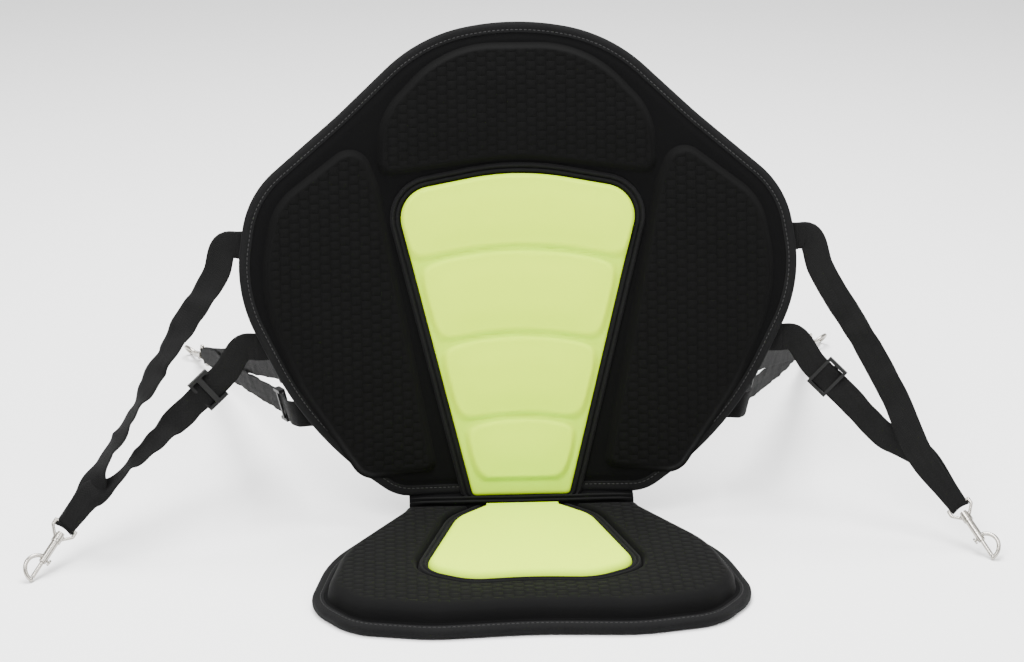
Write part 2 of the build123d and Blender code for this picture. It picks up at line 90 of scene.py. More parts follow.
class NodeBench:
    """Puts shader nodes together for one material."""

    def __init__(self, name: str) -> None:
        """Start a material.

        Args:
            name: The material's name.
        """
        self.material = bpy.data.materials.new(name)
        self.material.use_nodes = True
        self.tree = self.material.node_tree
        self.shader = self.tree.nodes["Principled BSDF"]

    def node(self, kind: str, **settings: object) -> bpy.types.Node:
        """Add a node and set its properties.

        Args:
            kind: The node's type, without the ShaderNode prefix.
            **settings: Properties to set on it.

        Returns:
            The new node.
        """
        made = self.tree.nodes.new(f"ShaderNode{kind}")
        for key, value in settings.items():
            setattr(made, key, value)
        return made

    def link(self, source: bpy.types.NodeSocket, target: bpy.types.NodeSocket) -> None:
        """Join one socket to another."""
        self.tree.links.new(source, target)

    def math(self, operation: str, first: object, second: object = None, third: object = None) -> object:
        """Add a Math node fed by sockets or numbers.

        Args:
            operation: The node's operation, such as MULTIPLY.
            first: A socket or a number.
            second: A socket or a number, if the operation takes one.
            third: A socket or a number, if the operation takes one.

        Returns:
            The node's output socket.
        """
        made = self.node("Math", operation=operation)
        for slot, value in enumerate((first, second, third)):
            if isinstance(value, (int, float)):
                made.inputs[slot].default_value = value
            elif value is not None:
                self.link(value, made.inputs[slot])
        return made.outputs[0]

    def total(self, first: object, share: float, second: object, rest: float) -> object:
        """Add two heights, each by its own share."""
        return self.math("ADD", self.math("MULTIPLY", first, share), self.math("MULTIPLY", second, rest))

    def lay(self) -> tuple[object, object, object]:
        """Read a piece's own cloth coordinates.

        Returns:
            Sockets for the distance across, the distance along and the distance from the nearest edge, or,
            where a pad has a painted-shade level, its distance from that level.
        """
        attribute = self.node("Attribute", attribute_name="lay")
        parts = self.node("SeparateXYZ")
        self.link(attribute.outputs["Vector"], parts.inputs[0])
        return parts.outputs[0], parts.outputs[1], parts.outputs[2]

    def noise(self, scale: float, detail: float = 3.0, vector: object = None) -> object:
        """Add a noise texture.

        Args:
            scale: The noise's scale, in cycles per metre.
            detail: Its octaves.
            vector: A socket with the coordinates, or none for the object's own.

        Returns:
            Its factor socket.
        """
        made = self.node("TexNoise")
        made.inputs["Scale"].default_value = scale
        made.inputs["Detail"].default_value = detail
        if vector is None:
            vector = self.node("TexCoord").outputs["Object"]
        self.link(vector, made.inputs["Vector"])
        return made.outputs["Fac"]

    def ramp(self, factor: object, low: Triple, high: Triple) -> object:
        """Mix two colours by a factor.

        Args:
            factor: The socket that chooses between them.
            low: The colour at 0.
            high: The colour at 1.

        Returns:
            The colour socket.
        """
        mix = self.node("Mix", data_type="RGBA")
        self.link(factor, mix.inputs["Factor"])
        mix.inputs["A"].default_value = (*low, 1.0)
        mix.inputs["B"].default_value = (*high, 1.0)
        return mix.outputs["Result"]

    def bump(self, height: object, distance: float, strength: float = 1.0, onto: object = None) -> object:
        """Add a Bump node.

        Args:
            height: The socket with the height, from 0 to 1.
            distance: The height of 1, in metres.
            strength: How much of it shows.
            onto: The normal of an earlier bump, if any.

        Returns:
            The normal socket.
        """
        made = self.node("Bump")
        made.inputs["Strength"].default_value = strength
        made.inputs["Distance"].default_value = distance
        self.link(height, made.inputs["Height"])
        if onto is not None:
            self.link(onto, made.inputs["Normal"])
        return made.outputs["Normal"]


def grey(level: float) -> Triple:
    """A colour with the same level in each channel."""
    return (level, level, level)


@dataclass(frozen=True)
class ClothFinish:
    """A cloth or tape finish: its colours, its pattern and how it takes the light."""

    name: str
    base: Triple
    lit: Triple
    weave: Weave
    roughness: float = 0.85
    sheen: float = 0.02
    gloss: float = 0.07
    thread: float = 0.45 * MM
    cell: tuple[float, float] = (9.2 * MM, 8.6 * MM)
    cell_depth: float = 0.9 * MM

    def make(self) -> bpy.types.Material:
        """Build the material.

        Returns:
            The finished material.
        """
        bench = NodeBench(self.name)
        shader = bench.shader
        shader.inputs["Sheen Weight"].default_value = self.sheen
        shader.inputs["Sheen Roughness"].default_value = 0.4
        shader.inputs["Specular IOR Level"].default_value = self.gloss
        across, along, edge = bench.lay()
        fibre = bench.noise(900.0, 4.0)
        cloud = bench.noise(28.0, 2.0)
        shade = bench.total(fibre, 0.55, cloud, 0.45)
        normal = None
        if self.weave is Weave.EMBOSSED:
            height = self.cells(bench, across, along, edge)
            # The cells' hollows are painted darker and their crests lighter: painted shade and highlight.
            shade = bench.total(shade, 0.7, height, 0.3)
            normal = bench.bump(height, self.cell_depth)
        elif self.weave is Weave.PAINTED_RELIEF_SHADE:
            # Painted shade: the colour darkens as the third lay value falls, which is near the pad's edge,
            # or low on its relief where a painted-shade level is given.
            raised = bench.math("SMOOTH_MIN", bench.math("DIVIDE", edge, 8 * MM), 1.0, 0.3)
            shade = bench.total(shade, 0.3, raised, 0.7)
        elif self.weave is Weave.GROSGRAIN:
            normal = bench.bump(self.ribs(bench, across, 1.1 * MM), 0.25 * MM)
        elif self.weave is Weave.WEBBING:
            twill = self.herringbone(bench, across, along)
            # The twill's grooves are painted darker and its ribs lighter: painted shade and highlight.
            shade = bench.total(shade, 0.5, twill, 0.5)
            normal = bench.bump(twill, 0.35 * MM)
        elif self.weave is Weave.CANVAS:
            normal = bench.bump(self.canvas(bench, across, along, 1.1 * MM), 0.2 * MM)
        knit = self.canvas(bench, across, along, 2 * self.thread)
        normal = bench.bump(knit, 0.06 * MM, 0.7, normal)
        normal = bench.bump(fibre, 0.08 * MM, 0.5, normal)
        bench.link(normal, shader.inputs["Normal"])
        bench.link(bench.ramp(shade, self.base, self.lit), shader.inputs["Base Color"])
        rough = bench.math("MULTIPLY_ADD", fibre, 0.12, self.roughness - 0.06)
        bench.link(rough, shader.inputs["Roughness"])
        return bench.material

    def cells(self, bench: NodeBench, across: object, along: object, edge: object) -> object:
        """Draw staggered columns of small raised cells that fade out near the pad's edge.

        Args:
            bench: The material being built.
            across: Socket with the distance across.
            along: Socket with the distance along.
            edge: Socket with the distance from the edge.

        Returns:
            The height socket.
        """
        column = bench.math("DIVIDE", across, self.cell[0])
        row = bench.math("DIVIDE", along, self.cell[1])
        odd = bench.math("FLOORED_MODULO", bench.math("FLOOR", column), 2.0)
        row = bench.math("MULTIPLY_ADD", odd, 0.5, row)
        waves = []
        for place in (column, row):
            wave = bench.math("ABSOLUTE", bench.math("SINE", bench.math("MULTIPLY", place, math.pi)))
            waves.append(bench.math("POWER", wave, 0.55))
        height = bench.math("MULTIPLY", waves[0], waves[1])
        fade = bench.node("MapRange", interpolation_type="SMOOTHSTEP")
        fade.inputs["From Min"].default_value = 7 * MM
        fade.inputs["From Max"].default_value = 12 * MM
        bench.link(edge, fade.inputs["Value"])
        flat = 0.72
        faded = bench.math("MULTIPLY", bench.math("SUBTRACT", height, flat), fade.outputs["Result"])
        return bench.math("ADD", faded, flat)

    def ribs(self, bench: NodeBench, along: object, pitch: float) -> object:
        """Draw ribs across a tape, a pitch apart, and return their height socket."""
        wave = bench.math("SINE", bench.math("MULTIPLY", along, math.tau / pitch))
        return bench.math("MULTIPLY_ADD", wave, 0.5, 0.5)

    def herringbone(self, bench: NodeBench, across: object, along: object) -> object:
        """Draw the slanted ribs of strap webbing, which change hand in bands along the strap.

        Args:
            bench: The material being built.
            across: Socket with the distance across the strap.
            along: Socket with the distance along the strap.

        Returns:
            The height socket.
        """
        band = 4.2 * MM
        pitch = 1.9 * MM
        folded = bench.math("PINGPONG", across, band)
        slanted = bench.math("MULTIPLY_ADD", folded, 1.1, along)
        wave = bench.math("SINE", bench.math("MULTIPLY", slanted, math.tau / pitch))
        warp = bench.math("SINE", bench.math("MULTIPLY", across, math.tau / (1.05 * MM)))
        return bench.math("MULTIPLY_ADD", warp, 0.15, bench.math("MULTIPLY_ADD", wave, 0.35, 0.5))

    def canvas(self, bench: NodeBench, across: object, along: object, pitch: float) -> object:
        """Draw a plain weave.

        Args:
            bench: The material being built.
            across: Socket with the distance across.
            along: Socket with the distance along.
            pitch: The distance over two threads.

        Returns:
            The height socket.
        """
        warp = bench.math("SINE", bench.math("MULTIPLY", across, math.tau / pitch))
        weft = bench.math("SINE", bench.math("MULTIPLY", along, math.tau / pitch))
        return bench.math("MULTIPLY_ADD", bench.math("MULTIPLY", warp, weft), 0.5, 0.5)


@dataclass(frozen=True)
class MetalFinish:
    """Bright plated metal, a little uneven where the casting shows through."""

    name: str
    base: Triple
    worn: Triple
    roughness: float

    def make(self) -> bpy.types.Material:
        """Build the material.

        Returns:
            The finished material.
        """
        bench = NodeBench(self.name)
        bench.shader.inputs["Metallic"].default_value = 1.0
        cast = bench.noise(420.0, 5.0)
        tone = bench.noise(70.0, 2.0)
        bench.link(bench.ramp(tone, self.base, self.worn), bench.shader.inputs["Base Color"])
        rough = bench.math("MULTIPLY_ADD", cast, 0.18, self.roughness - 0.09)
        bench.link(rough, bench.shader.inputs["Roughness"])
        bench.link(bench.bump(cast, 0.12 * MM, 0.5), bench.shader.inputs["Normal"])
        return bench.material


@dataclass(frozen=True)
class PlasticFinish:
    """Moulded plastic with a fine spark-eroded grain."""

    name: str
    base: Triple
    lit: Triple
    roughness: float
    grain: float = 1500.0

    def make(self) -> bpy.types.Material:
        """Build the material.

        Returns:
            The finished material.
        """
        bench = NodeBench(self.name)
        bench.shader.inputs["Specular IOR Level"].default_value = 0.2
        grain = bench.noise(self.grain, 3.0)
        tone = bench.noise(60.0, 2.0)
        bench.link(bench.ramp(tone, self.base, self.lit), bench.shader.inputs["Base Color"])
        rough = bench.math("MULTIPLY_ADD", grain, 0.15, self.roughness - 0.07)
        bench.link(rough, bench.shader.inputs["Roughness"])
        bench.link(bench.bump(grain, 0.08 * MM, 0.6), bench.shader.inputs["Normal"])
        return bench.material


@dataclass
class FinishRack:
    """Every finish of the seat, each made once."""

    made: dict[str, bpy.types.Material] = field(default_factory=dict)

    def __post_init__(self) -> None:
        """Make the finishes."""
        finishes = (
            ClothFinish("shell_cloth", (0.0006, 0.0006, 0.0007), (0.0015, 0.0015, 0.0016), Weave.SMOOTH),
            # On the embossed cloths the lit colour is painted highlight on the cells' crests and the base
            # colour is painted shade in their hollows, mixed with random tone.
            ClothFinish("pad_cloth", grey(0.0003), grey(0.0026), Weave.EMBOSSED),
            ClothFinish("seat_pad_cloth", (0.0006, 0.0006, 0.0007), grey(0.0044), Weave.EMBOSSED),
            # Bright cloth: its lit colour is painted highlight on the raised parts and its base colour is
            # painted shade in the valleys and at the edges, mixed with random tone.
            ClothFinish(
                "bright_cloth",
                (0.44, 0.70, 0.0),
                (0.60, 0.84, 0.0),
                Weave.PAINTED_RELIEF_SHADE,
                roughness=0.8,
                sheen=0.0,
            ),
            ClothFinish("binding_tape", (0.003, 0.003, 0.0032), (0.008, 0.008, 0.0082), Weave.GROSGRAIN),
            # On the webbing the lit colour is painted highlight on the twill's ribs and the base colour is
            # painted shade in its grooves, mixed with random tone.
            ClothFinish("webbing", grey(0.0015), grey(0.010), Weave.WEBBING),
            ClothFinish(
                "base_cloth", (0.010, 0.010, 0.011), (0.022, 0.022, 0.023), Weave.CANVAS, roughness=0.75
            ),
            ClothFinish("thread", grey(0.020), grey(0.045), Weave.SMOOTH, roughness=0.6),
            MetalFinish("nickel_plate", (0.46, 0.44, 0.40), (0.30, 0.28, 0.25), 0.26),
            MetalFinish("spring_wire", grey(0.50), grey(0.38), 0.35),
            PlasticFinish("slider_plastic", grey(0.003), grey(0.007), 0.5),
        )
        for finish in finishes:
            self.made[finish.name] = finish.make()

    def dress(self, piece: bpy.types.Object, name: str) -> None:
        """Give a piece one of the finishes, by name."""
        piece.data.materials.clear()
        piece.data.materials.append(self.made[name])

    def hand_over(
        self,
        piece: bpy.types.Object,
        name: str,
        body: str,
        slot: str,
        replaces: Sequence[str] = (),
        fill: float | None = None,
    ) -> None:
        """Dress a piece, fix it to its body, hide the frame's nodes that it stands for and log its size.

        Args:
            piece: The object.
            name: The finish's name.
            body: The body that it rides on.
            slot: The record's material slot; not used.
            replaces: The frame's nodes that it stands for.
            fill: How full a padded piece is, or none if it isn't padded; not used.
        """
        self.dress(piece, name)
        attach(piece, body)
        if replaces:
            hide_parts(*replaces)
        log.info("%s rides on %s with %d faces", piece.name, body, len(piece.data.polygons))

    def dress_node(self, node: str, name: str) -> None:
        """Give a node that the frame carries one of the finishes, by name."""
        for slot in frame["nodes"][node].material_slots:
            slot.material = self.made[name]


# --------------------------------------------------------------------------- outlines
def whole(half: Sequence[Triple]) -> list[Triple]:
    """Mirror the left half of an outline, given as corners (across, along, radius)."""
    return list(half) + [(-x, y, r) for x, y, r in reversed(half) if x > 0]


def rounded(corners: Sequence[Triple], count: int) -> Outline:
    """Round a polygon's corners and spread points evenly along it.

    Args:
        corners: Corners as (across, along, radius).
        count: How many points to return.

    Returns:
        The points, as an array of shape (count, 2), counter-clockwise.
    """
    points = []
    number = len(corners)
    for index, (x, y, radius) in enumerate(corners):
        here = np.array((x, y))
        before = np.array(corners[index - 1][:2]) - here
        after = np.array(corners[(index + 1) % number][:2]) - here
        before = before / np.linalg.norm(before)
        after = after / np.linalg.norm(after)
        half = math.acos(np.clip(before @ after, -1, 1)) / 2
        bisector = before + after
        if np.linalg.norm(bisector) < 1e-6 or radius <= 0:
            points.append(here)
            continue
        centre = here + bisector / np.linalg.norm(bisector) * radius / math.sin(half)
        start = here + before * radius / math.tan(half) - centre
        end = here + after * radius / math.tan(half) - centre
        turn = math.atan2(start[0] * end[1] - start[1] * end[0], start @ end)
        for share in np.linspace(0, 1, 24):
            angle = turn * share
            spun = (
                start[0] * math.cos(angle) - start[1] * math.sin(angle),
                start[0] * math.sin(angle) + start[1] * math.cos(angle),
            )
            points.append(centre + np.array(spun))
    return evenly(np.array(points), count)


def reach_along(points: np.ndarray) -> np.ndarray:
    """How far along an open line each of its points lies."""
    return np.r_[0, np.cumsum(np.linalg.norm(np.diff(points, axis=0), axis=1))]


def unit_rows(rows: np.ndarray) -> np.ndarray:
    """Scale each row to a length of 1."""
    return rows / np.linalg.norm(rows, axis=1)[:, None]


def evenly(points: Outline, count: int) -> Outline:
    """Spread points evenly along a closed outline, counter-clockwise.

    Args:
        points: The outline's points.
        count: How many to return.

    Returns:
        The evenly spread points.
    """
    nearer = np.roll(points, -1, 0)
    area = np.sum(points[:, 0] * nearer[:, 1] - nearer[:, 0] * points[:, 1])
    if area < 0:
        points = points[::-1]
    loop = np.vstack([points, points[:1]])
    steps = reach_along(loop)
    at = np.linspace(0, steps[-1], count, endpoint=False)
    return np.stack([np.interp(at, steps, loop[:, axis]) for axis in (0, 1)], 1)


def inset(points: Outline, distance: float) -> Outline:
    """Move each point of a smooth outline inwards.

    Args:
        points: The outline, counter-clockwise.
        distance: How far; below 0 moves outwards.

    Returns:
        The moved points.
    """
    along = np.roll(points, -1, 0) - np.roll(points, 1, 0)
    along = unit_rows(along)
    inward = np.stack([-along[:, 1], along[:, 0]], 1)
    return points + inward * distance


def from_edge(points: Outline, outline: Outline) -> np.ndarray:
    """Measure how far points are from an outline.

    Args:
        points: The points, as an array of shape (n, 2).
        outline: The closed outline.

    Returns:
        The distances, as an array of shape (n,).
    """
    start = outline
    run = np.roll(outline, -1, 0) - start
    length = np.maximum((run**2).sum(1), 1e-12)
    best = np.full(len(points), np.inf)
    for low in range(0, len(points), 2000):
        some = points[low : low + 2000]
        offset = some[:, None, :] - start[None]
        share = np.clip((offset * run[None]).sum(2) / length, 0, 1)
        gap = offset - share[..., None] * run[None]
        best[low : low + 2000] = np.sqrt((gap**2).sum(2).min(1))
    return best


def swell(distance: np.ndarray, reach: float) -> np.ndarray:
    """A smooth rise from 0 at an edge to 1 at the given reach."""
    share = np.clip(distance / reach, 0, 1)
    return share * share * share * (share * (share * 6 - 15) + 10)


def roll_over(distance: np.ndarray, reach: float) -> np.ndarray:
    """A quarter-round rise from 0 at an edge to 1 at the given reach."""
    share = 1 - np.clip(distance / reach, 0, 1)
    return np.sqrt(np.maximum(1 - share * share, 0))


# --------------------------------------------------------------------------- where things lie
@dataclass(frozen=True)
class BackSurface:
    """The backrest's curved surface: across the panel, up from the fold, and back through the panel."""

    fold: Triple
    lean: float = math.radians(14.0)
    wing_radius: float = 1.2

    def place(self, flat: np.ndarray, behind: np.ndarray) -> np.ndarray:
        """Place points of the panel.

        Args:
            flat: Distances across and up, of shape (n, 2).
            behind: Depths behind the fold's face, of shape (n,).

        Returns:
            The places, of shape (n, 3).
        """
        back = np.sqrt((self.wing_radius + behind) ** 2 - flat[:, 0] ** 2) - self.wing_radius
        y = self.fold[1] + flat[:, 1] * math.sin(self.lean) + back * math.cos(self.lean)
        z = self.fold[2] + flat[:, 1] * math.cos(self.lean) - back * math.sin(self.lean)
        return np.stack([flat[:, 0], y, z], 1)


@dataclass(frozen=True)
class SeatSurface:
    """The cushion's surface: across, forward from the fold, and up from the ground."""

    fold_y: float

    def place(self, flat: np.ndarray, height: np.ndarray) -> np.ndarray:
        """Place points given as distances across and forward from the fold, and heights."""
        return np.stack([flat[:, 0], self.fold_y - flat[:, 1], height], 1)


Surface = BackSurface | SeatSurface


def make_piece(
    name: str,
    places: np.ndarray,
    faces: Sequence[Sequence[int]],
    lay: np.ndarray,
) -> bpy.types.Object:
    """Make a smooth mesh piece that knows its cloth coordinates.

    Args:
        name: The piece's name.
        places: Vertex places, of shape (n, 3).
        faces: Vertex numbers of each face.
        lay: Distances across, along and from the edge, of shape (n, 3).

    Returns:
        The new object.
    """
    mesh = bpy.data.meshes.new(name)
    mesh.from_pydata([tuple(p) for p in places], [], [list(f) for f in faces])
    attribute = mesh.attributes.new("lay", "FLOAT_VECTOR", "POINT")
    attribute.data.foreach_set("vector", lay.astype(np.float32).ravel())
    mesh.polygons.foreach_set("use_smooth", [True] * len(mesh.polygons))
    mesh.update()
    piece = bpy.data.objects.new(name, mesh)
    bpy.context.scene.collection.objects.link(piece)
    return piece


def grid_faces(rows: int, columns: int, closed: bool, flip: bool = False) -> list[tuple[int, ...]]:
    """Faces between neighbouring rows of a grid of vertices.

    Args:
        rows: How many rows.
        columns: How many vertices in each row.
        closed: Whether each row runs round to its start.
        flip: Whether the faces look the other way.

    Returns:
        The faces' vertex numbers.
    """
    faces = []
    for row in range(rows - 1):
        for column in range(columns if closed else columns - 1):
            after = (column + 1) % columns
            face = (
                row * columns + column,
                row * columns + after,
                (row + 1) * columns + after,
                (row + 1) * columns + column,
            )
            faces.append(face[::-1] if flip else face)
    return faces


def tube_faces(rows: int, ring: int) -> list[tuple[int, ...]]:
    """Faces of a row of rings of vertices, closed at both ends."""
    last = (rows - 1) * ring
    return grid_faces(rows, ring, True) + [tuple(range(ring)), tuple(range(last, last + ring))]


def join_rings(number: int, first: int, second: int) -> list[tuple[int, ...]]:
    """Faces between two rings of vertices, each given by the number of its first vertex."""
    pairs = [(column, (column + 1) % number) for column in range(number)]
    return [(first + a, first + b, second + b, second + a) for a, b in pairs]


@dataclass
class MouldedPad:
    """A closed pad whose top is a height field over an outline, ringed in towards a short spine."""

    name: str
    outline: Outline
    spine: tuple[tuple[float, float], tuple[float, float]]
    surface: Surface
    height: Callable[[np.ndarray, np.ndarray], np.ndarray]
    floor: float
    rings: int = 40
    # The level that the pad's painted shade is measured from; none measures it from the edge.
    painted_shade_level: float | None = None
    under_rings: int = 9
    ease: float = 1.45
    knot_pitch: float = 2.5 * MM

    def build(self) -> bpy.types.Object:
        """Build the pad.

        Returns:
            The pad's object.
        """
        flat = self.rings_of(self.rings, self.ease)
        under = self.rings_of(self.under_rings, 1.0)
        edge = from_edge(flat, self.outline)
        number = len(self.outline)
        heights = self.height(flat, edge)
        places = self.surface.place(flat, heights)
        low = self.surface.place(under, np.full(len(under), self.floor))
        top = self.rings * number
        faces = grid_faces(self.rings, number, True)
        below = grid_faces(self.under_rings, number, True, flip=True)
        faces += [tuple(vertex + top for vertex in face) for face in below]
        faces += join_rings(number, 0, top)
        # Painted shade: the colour follows how far the pad stands from this level.
        if self.painted_shade_level is not None:
            edge = np.abs(self.painted_shade_level - heights)
        lay = np.column_stack([np.vstack([flat, under]), np.r_[edge, from_edge(under, self.outline)]])
        piece = make_piece(self.name, np.vstack([places, low]), faces, lay)
        fix_normals(piece)
        return piece

    def rings_of(self, rings: int, ease: float) -> np.ndarray:
        """Ring the outline in towards its spine.

        Args:
            rings: How many rings.
            ease: How much closer together the outer rings lie; 1 spreads them evenly.

        Returns:
            The points of every ring.
        """
        start, end = (np.array(p) for p in self.spine)
        run = end - start
        knots = max(round(np.linalg.norm(run) / self.knot_pitch), 1)
        share = np.clip(((self.outline - start) @ run) / max(run @ run, 1e-12), 0, 1)
        hearts = start + (np.round(share * knots) / knots)[:, None] * run
        steps = np.linspace(0, 1, rings) ** ease
        return np.concatenate([self.outline + (hearts - self.outline) * step for step in steps])


def fix_normals(piece: bpy.types.Object, look_up: bool = False) -> None:
    """Merge doubled vertices and turn every face of a piece outwards.

    Args:
        piece: The object to mend.
        look_up: Whether it is an open sheet that looks up.
    """
    net = bmesh.new()
    net.from_mesh(piece.data)
    bmesh.ops.remove_doubles(net, verts=net.verts, dist=WELD)
    bmesh.ops.recalc_face_normals(net, faces=net.faces)
    if look_up and sum(face.normal.z * face.calc_area() for face in net.faces) < 0:
        bmesh.ops.reverse_faces(net, faces=net.faces)
    net.to_mesh(piece.data)
    net.free()


@dataclass
class EdgeRun:
    """A strip with one cross-section carried round an outline: binding or corded channel."""

    name: str
    outline: Outline
    surface: Surface
    profile: Profile

    def build(self) -> bpy.types.Object:
        """Build the strip.

        Returns:
            The strip's object.
        """
        number = len(self.outline)
        rows = []
        lays = []
        gaps = np.linalg.norm(np.roll(self.outline, -1, 0) - self.outline, axis=1)
        along = np.r_[0, np.cumsum(gaps)[:-1]]
        reach = 0.0
        for index, (inward, depth) in enumerate(self.profile):
            if index:
                before = self.profile[index - 1]
                reach += math.hypot(inward - before[0], depth - before[1])
            rows.append(self.surface.place(inset(self.outline, inward), np.full(number, depth)))
            lays.append(np.column_stack([along, np.full(number, reach), np.full(number, reach)]))
        faces = grid_faces(len(rows), number, True)
        faces += join_rings(number, (len(rows) - 1) * number, 0)
        piece = make_piece(self.name, np.vstack(rows), faces, np.vstack(lays))
        fix_normals(piece)
        return piece


def stitch_row(
    name: str,
    centres: np.ndarray,
    runs: np.ndarray,
    normals: np.ndarray,
    length: float,
    width: float,
    proud: float,
) -> bpy.types.Object:
    """Sew a row of stitches, each a small rounded lozenge of thread.

    Args:
        name: The piece's name.
        centres: Where each stitch lies, of shape (n, 3).
        runs: Unit directions along the seam.
        normals: Unit directions out of the cloth.
        length: Each stitch's length.
        width: The thread's width.
        proud: How far the thread stands out.

    Returns:
        The stitches, as one object.
    """
    places = []
    faces = []
    for centre, run, normal in zip(centres, runs, normals):
        side = np.cross(normal, run)
        base = len(places)
        for share, size in ((-0.5, 0.25), (-0.3, 0.9), (0.0, 1.0), (0.3, 0.9), (0.5, 0.25)):
            lift = proud * (1 - (2 * share) ** 2)
            middle = centre + run * share * length + normal * (lift - 0.3 * width)
            for angle in range(6):
                turn = math.tau * angle / 6
                places.append(middle + (side * math.cos(turn) + normal * math.sin(turn)) * width / 2 * size)
        for row in range(4):
            for column in range(6):
                after = (column + 1) % 6
                first = base + row * 6
                faces.append((first + column, first + 6 + column, first + 6 + after, first + after))
        faces.append(tuple(base + k for k in range(6)))
        faces.append(tuple(base + 24 + k for k in reversed(range(6))))
    places = np.array(places)
    return make_piece(name, places, faces, places)


def seam_on(
    name: str,
    outline: Outline,
    inward: float,
    surface: Surface,
    depth: float,
    pitch: float = 4.2 * MM,
) -> bpy.types.Object:
    """Sew a closed seam at a set distance inside an outline.

    Args:
        name: The piece's name.
        outline: The outline that the seam follows.
        inward: How far inside it the seam lies.
        surface: The surface that it is sewn to.
        depth: The seam's depth or height on that surface.
        pitch: The distance from stitch to stitch.

    Returns:
        The seam's object.
    """
    line = inset(outline, inward)
    length = np.linalg.norm(np.roll(line, -1, 0) - line, axis=1).sum()
    count = int(length / pitch)
    line = evenly(line, count)
    places = surface.place(line, np.full(count, depth))
    runs = unit_rows(np.roll(places, -1, 0) - np.roll(places, 1, 0))
    lift = -0.001 if isinstance(surface, BackSurface) else 0.001
    outer = surface.place(line, np.full(count, depth + lift))
    normals = unit_rows(outer - places)
    return stitch_row(name, places, runs, normals, 0.72 * pitch, 0.75 * MM, 0.25 * MM)


def profile_at(points: Profile, level: float) -> list[tuple[float, float]]:
    """Carry a cross-section given in millimetres to a level in metres."""
    return [(inward * MM, level + depth * MM) for inward, depth in points]


def corded_profile(
    ridges: Sequence[float], half: float, lift: float, base: float, outer: float, floor: float
) -> list[tuple[float, float]]:
    """Draw the cross-section of a channel with two cords.

    Args:
        ridges: Where the cords lie, in millimetres inwards.
        half: Half a cord's width, in millimetres.
        lift: How far a cord stands up, in millimetres; below 0 on the backrest, where depth runs back.
        base: The level that the cords stand on.
        outer: The channel's outer edge, in millimetres inwards.
        floor: The level of its underside.

    Returns:
        The cross-section, as distances inwards and levels.
    """
    inner = 1.5 * MM
    profile = [(inner, base)]
    for ridge in ridges:
        for share in np.linspace(-1, 1, 7):
            rise = lift * MM * math.sqrt(max(1 - share * share, 0))
            profile.append((ridge * MM - share * half * MM, base + rise))
    return profile + [(outer * MM, floor), (inner, floor)]


def bind_edge(
    rack: FinishRack,
    word: str,
    body: str,
    edge: Outline,
    surface: Surface,
    profile: Profile,
    sewn_at: float,
) -> None:
    """Bind an edge with folded grosgrain tape, and sew it down.

    Args:
        rack: The finishes.
        word: What the pieces' names start with.
        body: The body that they ride on.
        edge: The edge's outline.
        surface: The surface that it lies on.
        profile: The tape's cross-section.
        sewn_at: The seam's depth or height on the surface.
    """
    tape = EdgeRun(f"{word}_binding_tape", edge, surface, profile).build()
    rack.hand_over(tape, "binding_tape", body, "binding", (f"{word}_edge_binding",))
    seam = seam_on(f"{word}_binding_seam", edge, SEAM_INSET, surface, sewn_at)
    rack.hand_over(seam, "thread", body, "binding")


